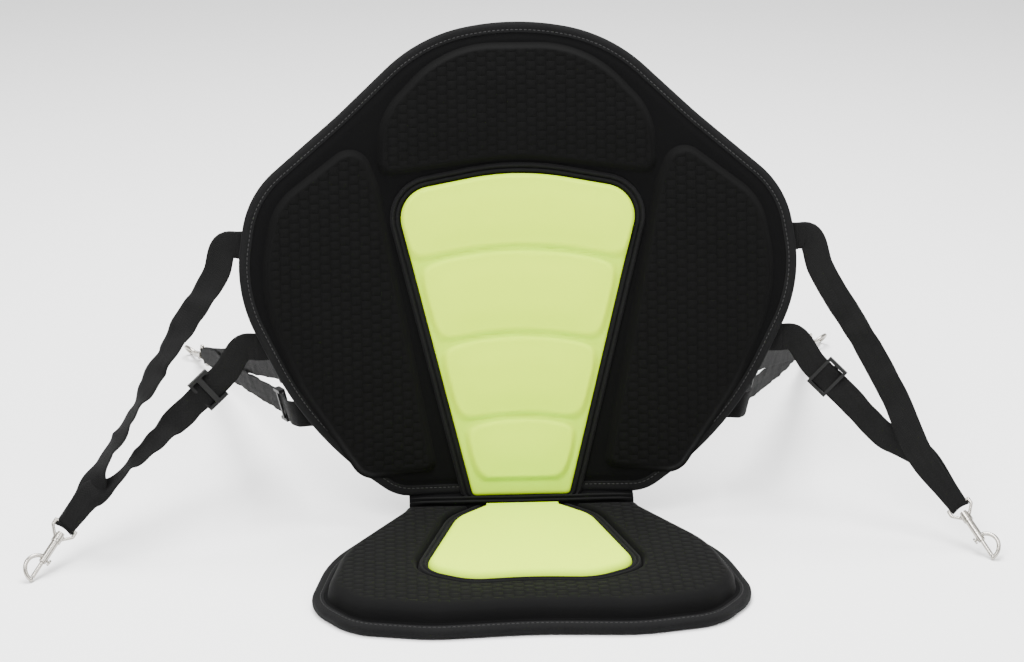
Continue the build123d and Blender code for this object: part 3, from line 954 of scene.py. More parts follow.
# --------------------------------------------------------------------------- cushion
@dataclass
class Cushion:
    """The seat cushion: bound edge, raised pad, bright insert and the channel round it."""

    rack: FinishRack
    surface: SeatSurface
    width: float = 0.384
    depth: float = 0.227
    rear_width: float = 0.250
    flange: float = 0.009
    pad_top: float = 0.026
    insert_top: float = 0.0285
    pad_margin: float = 0.015
    pad_rear_margin: float = 0.004
    channel: float = 0.009
    points: int = 560

    def outline(self, carried: float = 0.0) -> Outline:
        """The cushion's outline.

        Args:
            carried: How far its rear edge is carried back past the fold.

        Returns:
            The outline's points.
        """
        side = self.width / 2
        foot = self.rear_width / 2
        half = [
            (foot - 0.65 * carried, -carried, 0.016 if carried else 0.010),
            (side - 0.011, 0.37 * self.depth, 0.140),
            (side + 0.005, 0.74 * self.depth, 0.052),
            (side - 0.032, 0.945 * self.depth, 0.055),
            (side - 0.102, 1.005 * self.depth, 0.140),
            (0, 0.98 * self.depth, 0.400),
        ]
        return rounded(whole(half), self.points)

    def insert_outline(self) -> Outline:
        """The bright insert's outline."""
        side = self.width / 2 - 0.096
        front = self.depth - 0.070
        half = [
            (0.036, 0.0045, 0.010),
            (0.064, 0.030, 0.040),
            (side, front - 0.022, 0.024),
            (side - 0.041, front, 0.050),
            (0, front - 0.004, 0.300),
        ]
        return rounded(whole(half), 320)

    def build(self) -> None:
        """Build every piece of the cushion."""
        edge = self.outline()
        insert = self.insert_outline()
        self.binding(edge)
        self.flange_cloth(edge)
        self.underside(edge)
        self.raised_pad(insert)
        self.insert_border(insert)
        self.insert_pad(insert)

    def binding(self, edge: Outline) -> None:
        """Bind the edge with folded grosgrain tape, and sew it down.

        Args:
            edge: The cushion's outline.
        """
        upper = (
            (10.4, -0.9),
            (10.2, 0.0),
            (8.8, 0.1),
            (7.6, -0.35),
            (6.2, 0.25),
            (3.6, 0.3),
            (1.6, -0.4),
            (0.4, -1.9),
            (0.0, -3.8),
        )
        lower = ((0.3, 2.6), (1.2, 0.9), (2.8, 0.1), (6.0, 0.0), (9.8, 0.0), (10.2, 0.8))
        profile = profile_at(upper, self.flange) + profile_at(lower, 0.0)
        bind_edge(self.rack, "seat", "seat", edge, self.surface, profile, self.flange - 0.1 * MM)

    def flange_cloth(self, edge: Outline) -> None:
        """Lay the moulded top cloth between the binding and the raised pad.

        Args:
            edge: The cushion's outline.
        """

        def height(flat: np.ndarray, gap: np.ndarray) -> np.ndarray:
            """Dip where the binding is sewn, then lie level."""
            return self.flange - 0.5 * MM * (1 - swell(gap, 6 * MM))

        pad = MouldedPad(
            "seat_top_cloth",
            inset(edge, BINDING_COVER),
            ((-0.07, 0.11), (0.07, 0.11)),
            self.surface,
            height,
            self.flange - 4 * MM,
            rings=14,
        ).build()
        inside = ("seat_top_shell", "seat_foam_core")
        self.rack.hand_over(pad, "shell_cloth", "seat", "shell_cloth", inside, fill=0.9)

    def underside(self, edge: Outline) -> None:
        """Lay the coated cloth of the underside.

        Args:
            edge: The cushion's outline.
        """

        def height(flat: np.ndarray, gap: np.ndarray) -> np.ndarray:
            """Lie on the ground."""
            return np.full(len(flat), 0.1 * MM)

        cloth = MouldedPad(
            "seat_underside",
            inset(edge, BINDING_COVER),
            ((-0.07, 0.11), (0.07, 0.11)),
            self.surface,
            height,
            1.2 * MM,
            rings=12,
        ).build()
        self.rack.hand_over(cloth, "base_cloth", "seat", "base_cloth", ("seat_base_fabric",))

    def raised_pad(self, insert: Outline) -> None:
        """Mould the raised black pad that runs round three sides of the insert.

        Args:
            insert: The insert's outline.
        """
        outer = inset(self.outline(self.pad_margin - self.pad_rear_margin), self.pad_margin - 1.5 * MM)
        rear = self.pad_rear_margin
        outer[:, 1] = np.maximum(outer[:, 1], rear)
        inner = inset(insert, -self.channel)
        inner[:, 1] = np.maximum(inner[:, 1], rear)
        centre = np.array((0.0, 0.09))
        angle = np.linspace(-math.pi, math.pi, self.points, endpoint=False)

        def by_angle(points: Outline) -> Outline:
            """Read an outline at even angles about the pad's centre."""
            angles = np.arctan2(*(points - centre).T[::-1])
            order = np.argsort(angles)
            columns = [np.interp(angle, angles[order], points[order, k], period=math.tau) for k in (0, 1)]
            return np.stack(columns, 1)

        out_ring = by_angle(outer)
        in_ring = by_angle(inner)
        rings = 44
        steps = 0.5 - 0.5 * np.cos(np.linspace(0, math.pi, rings))
        flat = np.concatenate([out_ring + (in_ring - out_ring) * step for step in steps])
        beyond = outer.copy()
        beyond[:, 1] = np.where(beyond[:, 1] < rear + 1 * MM, rear - 7 * MM, beyond[:, 1])
        gap_out = from_edge(flat, beyond)
        gap_in = from_edge(flat, inner)
        rise = np.minimum(roll_over(gap_out, 11 * MM), roll_over(gap_in, 5 * MM))
        foot = swell(np.minimum(gap_out, gap_in), 2.2 * MM)
        crown = 1.0 * MM * swell(np.minimum(gap_out, gap_in), 30 * MM)
        height = self.flange + (self.pad_top - self.flange - 1.0 * MM) * rise * foot + crown
        height[: self.points] = height[-self.points :] = self.flange - 1.5 * MM
        flat[self.points : 2 * self.points] = out_ring + (in_ring - out_ring) * 0.003
        faces = grid_faces(rings, self.points, True, flip=True)
        edge = np.minimum(gap_out - 1 * MM, gap_in + 3 * MM)
        lay = np.column_stack([flat, edge])
        pad = make_piece("seat_raised_pad", self.surface.place(flat, height), faces, lay)
        fix_normals(pad, look_up=True)
        self.rack.hand_over(pad, "seat_pad_cloth", "seat", "pad_cloth", ("seat_pad",), fill=0.8)

    def insert_border(self, insert: Outline) -> None:
        """Lay the corded channel round the insert.

        Args:
            insert: The insert's outline.
        """
        floor = self.flange - 0.5 * MM
        profile = corded_profile((-2.2, -6.3), 1.9, 3.4, self.flange + 11.0 * MM, -9.6, floor)
        border = EdgeRun("seat_insert_channel", insert, self.surface, profile).build()
        hold_back(border, self.surface.fold_y - 1.5 * MM)
        self.rack.hand_over(border, "binding_tape", "seat", "binding", ("seat_insert_border",))

    def insert_pad(self, insert: Outline) -> None:
        """Mould the bright insert.

        Args:
            insert: The insert's outline.
        """
        low = self.flange + 10 * MM
        fold_start, fold_reach, fold_half = 4.5 * MM, 14 * MM, 34 * MM
        crowned = 1.6 * MM

        def height(flat: np.ndarray, gap: np.ndarray) -> np.ndarray:
            """Roll over at the edge, less at the fold, and crown gently in the middle."""
            near = np.clip(1 - (flat[:, 1] - fold_start) / fold_reach, 0, 1)
            at_fold = near * (np.abs(flat[:, 0]) < fold_half)
            gap = np.maximum(gap, 5 * MM * at_fold)
            crown = crowned * swell(gap, 60 * MM)
            return low + (self.insert_top - crowned - low) * roll_over(gap, 7 * MM) + crown

        # The insert's colour is painted darker towards its rolled edge, as shade.
        pad = MouldedPad(
            "seat_bright_insert",
            inset(insert, 0.2 * MM),
            ((0.0, 0.06), (0.0, 0.13)),
            self.surface,
            height,
            self.flange + 0.5 * MM,
            rings=40,
        ).build()
        self.rack.hand_over(pad, "bright_cloth", "seat", "bright_cloth", ("seat_insert",), fill=0.8)


def hold_back(piece: bpy.types.Object, furthest: float) -> None:
    """Press a piece's vertices forward so that none has a y above the furthest."""
    for vertex in piece.data.vertices:
        vertex.co.y = min(vertex.co.y, furthest)


# --------------------------------------------------------------------------- backrest
@dataclass
class Backrest:
    """The moulded backrest: bound shell, three black pads, the bright lumbar panel and the sewn back."""

    rack: FinishRack
    surface: BackSurface
    width: float = 0.516
    height: float = 0.446
    foot_width: float = 0.236
    fold_gap: float = 0.0025
    shell_face: float = 0.0125
    shell_back: float = 0.0215
    webbing_width: float = 0.025
    webbing_thickness: float = 0.0016
    lower_tape_at: float = 0.148
    upper_tape_at: float = 0.243
    patch_heights: tuple[float, float] = (0.0705, 0.1352)
    patch_margin: float = 4 * MM
    patch_tuck: float = 8 * MM
    valley_shares: Triple = (0.25, 0.502, 0.762)

    def outline(self) -> Outline:
        """The backrest's outline."""
        side = self.width / 2
        half = [
            (self.foot_width / 2, self.fold_gap, 0.042),
            (side - 0.060, 0.139 * self.height, 0.302),
            (side + 0.006, 0.448 * self.height, 0.138),
            (side - 0.008, 0.648 * self.height, 0.088),
            (side - 0.091, 0.807 * self.height, 0.480),
            (side - 0.170, 0.973 * self.height, 0.150),
            (0, 1.007 * self.height, 0.240),
        ]
        return rounded(whole(half), 900)

    @property
    def lumbar_side(self) -> float:
        """Half the lumbar panel's width at its upper corners."""
        return self.width / 2 - 0.142

    @property
    def lumbar_top(self) -> float:
        """The lumbar panel's height."""
        return self.height - 0.1365

    def lumbar_outline(self) -> Outline:
        """The lumbar panel's outline."""
        half = [
            (0.046, self.fold_gap - 0.0015, 0.005),
            (self.lumbar_side, self.lumbar_top - 0.0215, 0.030),
            (0, self.lumbar_top, 0.250),
        ]
        return rounded(whole(half), 460)

    def top_outline(self) -> Outline:
        """The top pad's outline."""
        inner = self.lumbar_side - 0.050
        half = [
            (0, self.lumbar_top + 0.007, 0.240),
            (self.lumbar_side + 0.017, self.lumbar_top - 0.0095, 0.015),
            (self.lumbar_side + 0.014, self.height - 0.084, 0.070),
            (inner, self.height - 0.018, 1.66 * inner),
        ]
        return rounded(whole(half), 420)

    def side_outline(self, side: int) -> Outline:
        """One side pad's outline.

        Args:
            side: 1 for the left, -1 for the right.

        Returns:
            The outline's points.
        """
        half = self.width / 2
        corners = [
            (0.076, 0.024, 0.012),
            (self.lumbar_side + 0.011, self.lumbar_top - 0.0135, 0.014),
            (self.lumbar_side + 0.030, self.height - 0.102, 0.022),
            (half - 0.030, 0.632 * self.height, 0.060),
            (half - 0.013, 0.448 * self.height, 0.150),
            (half - 0.053, 0.233 * self.height, 0.160),
            (self.foot_width / 2 + 0.032, 0.020, 0.024),
        ]
        return rounded([(side * x, y, r) for x, y, r in corners], 520)

    def build(self) -> None:
        """Build every piece of the backrest."""
        edge = self.outline()
        self.binding(edge)
        self.front_shell(edge)
        self.rear_panel(edge)
        self.black_pad("back_top_pad", self.top_outline(), ((-0.05, 0.37), (0.05, 0.37)), "top_pad")
        for side, word in ((1, "left"), (-1, "right")):
            spine = ((side * 0.125, 0.07), (side * 0.178, 0.255))
            self.black_pad(f"back_side_pad_{word}", self.side_outline(side), spine, f"side_pad_{word}")
        self.lumbar_channel()
        self.lumbar_pad()
        self.sewn_tapes()

    def binding(self, edge: Outline) -> None:
        """Bind the edge with folded grosgrain tape, and sew it down.

        Args:
            edge: The backrest's outline.
        """
        front = (
            (10.4, 0.9),
            (10.2, 0.0),
            (8.8, -0.15),
            (7.6, 0.35),
            (6.2, -0.3),
            (3.6, -0.3),
            (1.6, 0.5),
            (0.4, 2.0),
            (-0.1, 4.5),
        )
        back = ((0.4, -2.0), (1.6, -0.5), (3.6, 0.2), (7.6, 0.2), (10.2, 0.0), (10.4, -0.9))
        profile = profile_at(front, self.shell_face) + profile_at(back, self.shell_back)
        bind_edge(self.rack, "back", "backrest", edge, self.surface, profile, self.shell_face + 0.1 * MM)

    def front_shell(self, edge: Outline) -> None:
        """Mould the smooth cloth that shows between the pads.

        Args:
            edge: The backrest's outline.
        """
        def depth(flat: np.ndarray, gap: np.ndarray) -> np.ndarray:
            """Pull in at the binding's seam and at the foot of each pad."""
            swollen = -1.1 * MM * swell(gap - 2 * MM, 7 * MM)
            return self.shell_face + 0.4 * MM + swollen

        shell = MouldedPad(
            "back_front_cloth",
            inset(edge, BINDING_COVER),
            ((0.0, 0.09), (0.0, 0.32)),
            self.surface,
            depth,
            self.shell_face + 5 * MM,
            rings=44,
        ).build()
        inside = ("back_front_shell", "back_foam_core", "back_stiffener")
        self.rack.hand_over(shell, "shell_cloth", "backrest", "shell_cloth", inside, fill=0.9)

    def rear_panel(self, edge: Outline) -> None:
        """Lay the woven cloth of the back.

        Args:
            edge: The backrest's outline.
        """

        def depth(flat: np.ndarray, gap: np.ndarray) -> np.ndarray:
            """Pull in at the binding's seam."""
            return self.shell_back - 0.5 * MM * (1 - swell(gap, 9 * MM))

        cloth = MouldedPad(
            "back_rear_cloth",
            inset(edge, BINDING_COVER),
            ((0.0, 0.09), (0.0, 0.32)),
            self.surface,
            depth,
            self.shell_back - 4 * MM,
            rings=30,
        ).build()
        self.rack.hand_over(cloth, "base_cloth", "backrest", "base_cloth", ("back_rear_panel",))

    def black_pad(
        self,
        name: str,
        outline: Outline,
        spine: tuple[tuple[float, float], tuple[float, float]],
        node: str,
    ) -> None:
        """Mould one of the black pads.

        Args:
            name: The piece's name.
            outline: The pad's outline.
            spine: The line that its rings close in on.
            node: The frame's node that it stands for.
        """

        def depth(flat: np.ndarray, gap: np.ndarray) -> np.ndarray:
            """Rise in a soft shoulder, then crown gently."""
            shoulder = 7.6 * MM * swell(gap + 0.5 * MM, 10 * MM)
            crown = 1.6 * MM * swell(gap, 45 * MM)
            return self.shell_face - 0.2 * MM - (shoulder + crown)

        floor = self.shell_face + 2 * MM
        pad = MouldedPad(name, outline, spine, self.surface, depth, floor, rings=46).build()
        self.rack.hand_over(pad, "pad_cloth", "backrest", "pad_cloth", (node,), fill=0.8)

    def lumbar_channel(self) -> None:
        """Lay the corded channel round the lumbar panel."""
        floor = self.shell_face + 0.5 * MM
        profile = corded_profile((-2.6, -7.4), 2.2, -2.8, self.shell_face - 1.5 * MM, -10.4, floor)
        channel = EdgeRun("back_lumbar_channel", self.lumbar_outline(), self.surface, profile).build()
        lift_above(channel, self.surface, self.fold_gap - 1.2 * MM)
        self.rack.hand_over(channel, "binding_tape", "backrest", "binding", ("lumbar_border",))

    def lumbar_pad(self) -> None:
        """Mould the bright lumbar panel with its four bolsters."""
        outline = self.lumbar_outline()
        base = 7.8 * MM
        top = self.lumbar_top
        valleys = [top * share for share in self.valley_shares]

        def arch(across: np.ndarray, up: float) -> np.ndarray:
            """The height of a valley that is highest in the middle."""
            half = 0.046 + (self.lumbar_side - 0.046) * up / top
            return up - 0.15 * half * (across / half) ** 2

        def depth(flat: np.ndarray, gap: np.ndarray) -> np.ndarray:
            """Roll over at the edge and raise each bolster."""
            across, up = flat[:, 0], flat[:, 1]
            raised = np.zeros(len(flat))
            for index in range(4):
                low = arch(across, valleys[index - 1]) + 3.5 * MM if index else np.full(len(flat), 17 * MM)
                high = arch(across, valleys[index]) - 3.0 * MM if index < 3 else np.full(len(flat), 1.0)
                margin = (9.0 if index == 0 else 6.5) * MM if index < 3 else 1.2 * MM
                sides = (gap - margin, up - low, high - up)
                room = 7 * MM
                soft = -room * np.log(sum(np.exp(-np.clip(s, -0.05, 0.2) / room) for s in sides))
                crown = 1.3 * MM * swell(soft, 26 * MM)
                raised = np.maximum(raised, 6.0 * MM * swell(soft + 5.5 * MM, 8.5 * MM) + crown)
            rolled = (self.shell_face - 1.0 * MM - base) * (1 - roll_over(gap, 4.5 * MM))
            return base + rolled - raised

        # The panel's colour is painted darker in the valleys and margins round the bolsters and lighter on
        # the bolsters, as shade and highlight.
        pad = MouldedPad(
            "back_lumbar_panel",
            inset(outline, 0.2 * MM),
            ((0.0, 0.05), (0.0, 0.24)),
            self.surface,
            depth,
            self.shell_face,
            rings=64,
            painted_shade_level=base,
        ).build()
        self.rack.hand_over(pad, "bright_cloth", "backrest", "bright_cloth", ("lumbar_panel",), fill=0.8)

    def sewn_tapes(self) -> None:
        """Sew the webbing on the back."""
        for node in ("rear_tape_upper", "rear_tape_lower", "rear_patch_left", "rear_patch_right"):
            self.sewn_tape(node)

    def kept_inside(self, flat: np.ndarray, across: tuple[float, float]) -> np.ndarray:
        """Narrow a patch where the backrest's edge would leave it bare.

        Args:
            flat: Distances across and up of the patch's points.
            across: The patch's two sides.

        Returns:
            The new distances across.
        """
        edge = self.outline()
        edge = edge[(edge[:, 0] > 0) & (edge[:, 1] < 0.2)]
        edge = edge[np.argsort(edge[:, 1])]
        widest = np.interp(flat[:, 1], edge[:, 1], edge[:, 0]) - self.patch_margin
        side = math.copysign(1.0, across[0])
        inner = min(abs(across[0]), abs(across[1]))
        outer = max(abs(across[0]), abs(across[1]))
        share = (np.abs(flat[:, 0]) - inner) / (outer - inner)
        tuck = self.patch_tuck
        return side * (inner - tuck + share * (np.minimum(outer, widest) - inner + tuck))

    def sewn_tape(self, node: str) -> None:
        """Sew one length of webbing flat on the back.

        Args:
            node: The frame's node that it stands for.
        """
        low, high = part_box(node)
        across = (low[0], high[0])
        wide = high[0] - low[0] > 0.1
        middle = self.upper_tape_at if node == "rear_tape_upper" else self.lower_tape_at
        half = self.webbing_width / 2
        up = (middle - half, middle + half) if wide else self.patch_heights
        columns = 120 if wide else 14
        rows = 11 if wide else 28
        xs = np.linspace(*across, columns)
        ups = np.linspace(*up, rows)
        flat = np.array([(x, u) for u in ups for x in xs])
        if not wide:
            flat[:, 0] = self.kept_inside(flat, across)
        outer = np.full(len(flat), self.shell_back + self.webbing_thickness)
        edge = np.minimum.reduce(
            [flat[:, 0] - across[0], across[1] - flat[:, 0], flat[:, 1] - up[0], up[1] - flat[:, 1]]
        )
        outer = outer - 0.5 * MM * (1 - roll_over(edge, 1.2 * MM))
        inner = np.full(len(flat), self.shell_back - 0.2 * MM)
        places = np.vstack([self.surface.place(flat, outer), self.surface.place(flat, inner)])
        number = len(flat)
        faces = grid_faces(rows, columns, False)
        faces += [tuple(v + number for v in reversed(f)) for f in grid_faces(rows, columns, False)]
        rim = list(range(columns)) + [r * columns + columns - 1 for r in range(1, rows)]
        rim += [(rows - 1) * columns + c for c in reversed(range(columns - 1))]
        rim += [r * columns for r in reversed(range(1, rows - 1))]
        for index, vertex in enumerate(rim):
            after = rim[(index + 1) % len(rim)]
            faces.append((vertex, after, after + number, vertex + number))
        lay = np.column_stack([flat[:, 1], flat[:, 0], edge] if wide else [flat, edge])
        piece = make_piece(f"{node}_webbing", places, faces, np.vstack([lay, lay]))
        fix_normals(piece)
        self.rack.hand_over(piece, "webbing", "backrest", "webbing", (node,))


def lift_above(piece: bpy.types.Object, surface: BackSurface, lowest: float) -> None:
    """Press a piece's vertices up the backrest so that none lies below a line across it.

    Args:
        piece: The object.
        surface: The backrest's surface.
        lowest: The smallest height above the fold that a vertex may have.
    """
    up = Vector((0, math.sin(surface.lean), math.cos(surface.lean)))
    fold = Vector(surface.fold)
    for vertex in piece.data.vertices:
        short = lowest - (vertex.co - fold).dot(up)
        if short > 0:
            vertex.co += up * short


# --------------------------------------------------------------------------- fold
@dataclass
class FoldCloth:
    """The folded strip between cushion and backrest, and the cloth hinge behind it."""

    rack: FinishRack
    fold: Triple
    half_width: float = 0.106

    def build(self) -> None:
        """Build the strip and the hinge cloth."""
        self.roll("fold_front_roll", "seat", (-1.6 * MM, -1.6 * MM), 1.4 * MM, ("fold_strip",))
        self.roll("fold_rear_roll", "backrest", (2.0 * MM, 0.8 * MM), 1.4 * MM, ())
        self.hinge()

    def roll(
        self,
        name: str,
        body: str,
        offset: tuple[float, float],
        radius: float,
        replaces: tuple[str, ...],
    ) -> None:
        """Roll a strip of cloth along the fold.

        Args:
            name: The piece's name.
            body: The body that it rides on.
            offset: Its distance behind and above the fold's line.
            radius: Its radius.
            replaces: The frame's nodes that it stands for.
        """
        rows = 90
        columns = 14
        places = []
        lay = []
        for row in range(rows):
            share = row / (rows - 1)
            x = (2 * share - 1) * self.half_width
            thin = min(1.0, 14 * share + 0.15, 14 * (1 - share) + 0.15)
            sway = 0.35 * MM * math.sin(9.1 * share) + 0.25 * MM * math.sin(23.0 * share)
            for column in range(columns):
                turn = math.tau * column / columns
                places.append(
                    (
                        x,
                        self.fold[1] + offset[0] + radius * thin * math.cos(turn) + sway,
                        self.fold[2] + offset[1] + 0.8 * radius * thin * math.sin(turn),
                    )
                )
                lay.append((x, radius * turn, 0.01))
        piece = make_piece(name, np.array(places), tube_faces(rows, columns), np.array(lay))
        fix_normals(piece)
        self.rack.hand_over(piece, "binding_tape", body, "binding", replaces)

    def hinge(self) -> None:
        """Hang the hinge cloth from the backrest's foot to the cushion's rear edge."""
        seat_edge = (-1.0 * MM, -21.0 * MM)
        seat_top = (0.8 * MM, -8.0 * MM)
        belly = (6.0 * MM, -3.0 * MM)
        back_low = (12.0 * MM, 0.5 * MM)
        back_top = (17.0 * MM, 6.0 * MM)
        line = smooth_line([seat_edge, seat_top, belly, back_low, back_top], 26)
        columns = 80
        places = []
        lay = []
        for index, (behind, above) in enumerate(line):
            for column in range(columns):
                share = column / (columns - 1)
                x = (2 * share - 1) * self.half_width
                pucker = 0.5 * MM * math.sin(41 * share) * math.sin(math.pi * index / (len(line) - 1))
                places.append((x, self.fold[1] + behind + pucker, self.fold[2] + above))
                lay.append((x, above, 0.01))
        cloth = make_piece(
            "fold_hinge_cloth", np.array(places), grid_faces(len(line), columns, False), np.array(lay)
        )
        thick = cloth.modifiers.new("thickness", "SOLIDIFY")
        thick.thickness = 0.8 * MM
        thick.offset = 0
        apply_modifiers(cloth)
        self.rack.dress(cloth, "shell_cloth")
        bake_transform(cloth)


def smooth_line(points: Sequence[Sequence[float]], count: int, scaled: bool = False) -> np.ndarray:
    """Run a smooth curve through rows whose first columns are a place.

    Args:
        points: The rows.
        count: How many rows to return.
        scaled: Whether the curve's pull at a row follows the gaps beside it.

    Returns:
        The curve's rows, spread evenly by distance.
    """
    knots = np.array(points, float)
    ghost = np.vstack([2 * knots[0] - knots[1], knots, 2 * knots[-1] - knots[-2]])
    gaps = np.linalg.norm(np.diff(knots[:, :3], axis=0), axis=1)
    steps = np.r_[0, np.cumsum(gaps)]
    out = []
    for at in np.linspace(0, steps[-1], count):
        span = min(int(np.searchsorted(steps, at, side="right")) - 1, len(gaps) - 1)
        t = (at - steps[span]) / gaps[span]
        a, b, c, d = ghost[span : span + 4]
        start, end = (c - a) / 2, (d - b) / 2
        if scaled:
            width = gaps[span]
            before = gaps[max(span - 1, 0)]
            after = gaps[min(span + 1, len(gaps) - 1)]
            start = ((b - a) / before + (c - b) / width) / 2 * width
            end = ((c - b) / width + (d - c) / after) / 2 * width
        h00 = 2 * t**3 - 3 * t**2 + 1
        h10 = t**3 - 2 * t**2 + t
        h01 = -2 * t**3 + 3 * t**2
        h11 = t**3 - t**2
        out.append(h00 * b + h10 * start + h01 * c + h11 * end)
    return np.array(out)


def apply_modifiers(piece: bpy.types.Object) -> None:
    """Apply every modifier of a piece to its mesh.

    Args:
        piece: The object.
    """
    graph = bpy.context.evaluated_depsgraph_get()
    mesh = bpy.data.meshes.new_from_object(piece.evaluated_get(graph))
    piece.modifiers.clear()
    old = piece.data
    piece.data = mesh
    bpy.data.meshes.remove(old)


# --------------------------------------------------------------------------- straps
@dataclass(frozen=True)
class Bend:
    """How a strap's leg lies at one place along it."""

    share: float
    sideways: float = 0.0
    lifted: float = 0.0
    roll: float = 0.0


@dataclass(frozen=True)
class StrapLay:
    """Where one strap lies: its bar and pull, the bar's direction, its face and its swing line."""

    bar: Vector
    pull: Vector
    across: Vector
    face: Vector
    line: Vector


@dataclass
class Strap:
    """One strap: two legs of webbing, a slider and a swivel snap hook."""

    rack: FinishRack
    name: str
    upper_bends: Sequence[Bend]
    lower_bends: Sequence[Bend]
    webbing_width: float = 0.025
    webbing_thickness: float = 0.0016
    gathered_width: float = 0.0176
    wrap_radius: float = 0.00275
    meet: float = 0.052
    sway: float = 0.0

    def joint(self, word: str) -> dict:
        """One of the strap's joints, from the frame."""
        return next(j for j in frame["joints"] if j["name"] == f"{self.name}_{word}")

    def build(self) -> None:
        """Build the strap's webbing and dress its hardware."""
        swing = self.joint("strap_swing")
        eye = self.joint("eye_tilt")
        slide = self.joint("slider_slide")
        upper = Vector(swing["pos_m"])
        bar = Vector(eye["pos_m"])
        across = Vector(eye["axis"]).normalized()
        to_lower = Vector(slide["axis"]).normalized()
        to_upper = (upper - bar).normalized()
        face = to_upper.cross(to_lower).normalized()
        pull = -(across.cross(face)) if across.cross(face).dot(bar - upper) < 0 else across.cross(face)
        face = pull.cross(across).normalized()
        line = Vector(swing["axis"]).normalized()
        lower = self.crossing(bar, to_lower, upper, line)
        lay = StrapLay(bar, pull, across, face, line)
        self.leg("upper", upper, lay, 1.0, self.upper_bends)
        self.leg("lower", lower, lay, -1.0, self.lower_bends)
        self.hardware()

    def crossing(self, start: Vector, way: Vector, point: Vector, line: Vector) -> Vector:
        """Find where a ray comes nearest to a line.

        Args:
            start: The ray's start.
            way: The ray's direction.
            point: A point on the line.
            line: The line's direction.

        Returns:
            The point on the ray.
        """
        normal = way.cross(line)
        return start + way * ((point - start).cross(line).dot(normal) / normal.length_squared)

    def leg(self, word: str, hold: Vector, lay: StrapLay, lift: float, bends: Sequence[Bend]) -> None:
        """Lay one leg of webbing from the backrest to the hook's bar.

        Args:
            word: Which leg it is.
            hold: Where it leaves the backrest.
            lay: Where the strap lies.
            lift: Which side of the bar it passes, 1 or -1.
            bends: How it lies along its way.
        """
        bar, pull, across, face = lay.bar, lay.pull, lay.across, lay.face
        run = bar - hold
        length = run.length
        side = (face.cross(run)).normalized()
        if side.dot(across) < 0:
            side = -side
        root = lay.line if lay.line.dot(side) > 0 else -lay.line
        outward = Vector((math.copysign(1.0, bar.x), 0, 0))
        full = self.webbing_width
        rows = [
            (hold - outward * 17 * MM + Vector((0, 2.0 * MM, 0)), 0.0, full, root),
            (hold - outward * 4 * MM + Vector((0, 1.6 * MM, 0)), 0.0, full, root),
            (hold + outward * 7 * MM, 0.0, full, (root * 0.6 + side * 0.4).normalized()),
        ]
        for bend in bends:
            at = hold + run * bend.share + side * bend.sideways + face * (bend.lifted + lift * 1.5 * MM)
            rows.append((at, math.radians(bend.roll), full, side))
        rows.append((bar - pull * self.meet + face * lift * 1.6 * MM, 0.0, full, across))
        gathering = bar - pull * 14 * MM + face * lift * self.wrap_radius
        rows.append((gathering, 0.0, self.gathered_width + 2 * MM, across))
        rows.append((bar + face * lift * self.wrap_radius, 0.0, self.gathered_width, across))
        table = np.array([(*at, roll, width, *way) for at, roll, width, way in rows])
        fine = smooth_line(table, max(int(length / (2.0 * MM)), 30), scaled=True)
        self.ruffle(fine, face, lift)
        if lift > 0:
            arc = []
            for step in range(1, 13):
                turn = math.pi * step / 12
                at = bar + (face * math.cos(turn) + pull * math.sin(turn)) * self.wrap_radius
                arc.append((*at, 0.0, self.gathered_width, *across))
            fine = np.vstack([fine, arc])
        piece = self.ribbon(f"{self.name}_{word}_strap", fine, face)
        self.rack.dress(piece, "webbing")
        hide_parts(f"{self.name}_{word}_webbing")
        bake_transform(piece)
        flat_length = float(np.linalg.norm(np.diff(fine[:, :3], axis=0), axis=1).sum())
        log.info("%s is %.0f mm of webbing", piece.name, flat_length / MM)

    def ruffle(self, fine: np.ndarray, face: Vector, lift: float) -> None:
        """Let slack webbing waver and twist a little between its two ends.

        Args:
            fine: The leg's rows, changed in place.
            face: The direction out of the strap's face.
            lift: Which leg it is, 1 or -1.
        """
        steps = reach_along(fine[:, :3])
        still_root, root_ease, still_end, end_ease = 0.055, 0.03, 0.045, 0.04
        room = np.clip((steps - still_root) / root_ease, 0, 1)
        room = room * np.clip((steps[-1] - still_end - steps) / end_ease, 0, 1)
        phase = 1.3 * lift + 7.0 * self.meet / 0.05
        turns = steps * math.tau
        long_wave, short_wave, long_twist, short_twist = 0.047, 0.029, 0.061, 0.023
        twist_per_sway = 130
        wave = np.sin(turns / long_wave + phase) + 0.6 * np.sin(turns / short_wave + 2 * phase)
        twist = np.sin(turns / long_twist + 2.1 * phase) + 0.5 * np.sin(turns / short_twist + phase)
        fine[:, :3] += (self.sway * room * wave)[:, None] * np.array(face)[None]
        fine[:, 3] += room * twist * self.sway * twist_per_sway

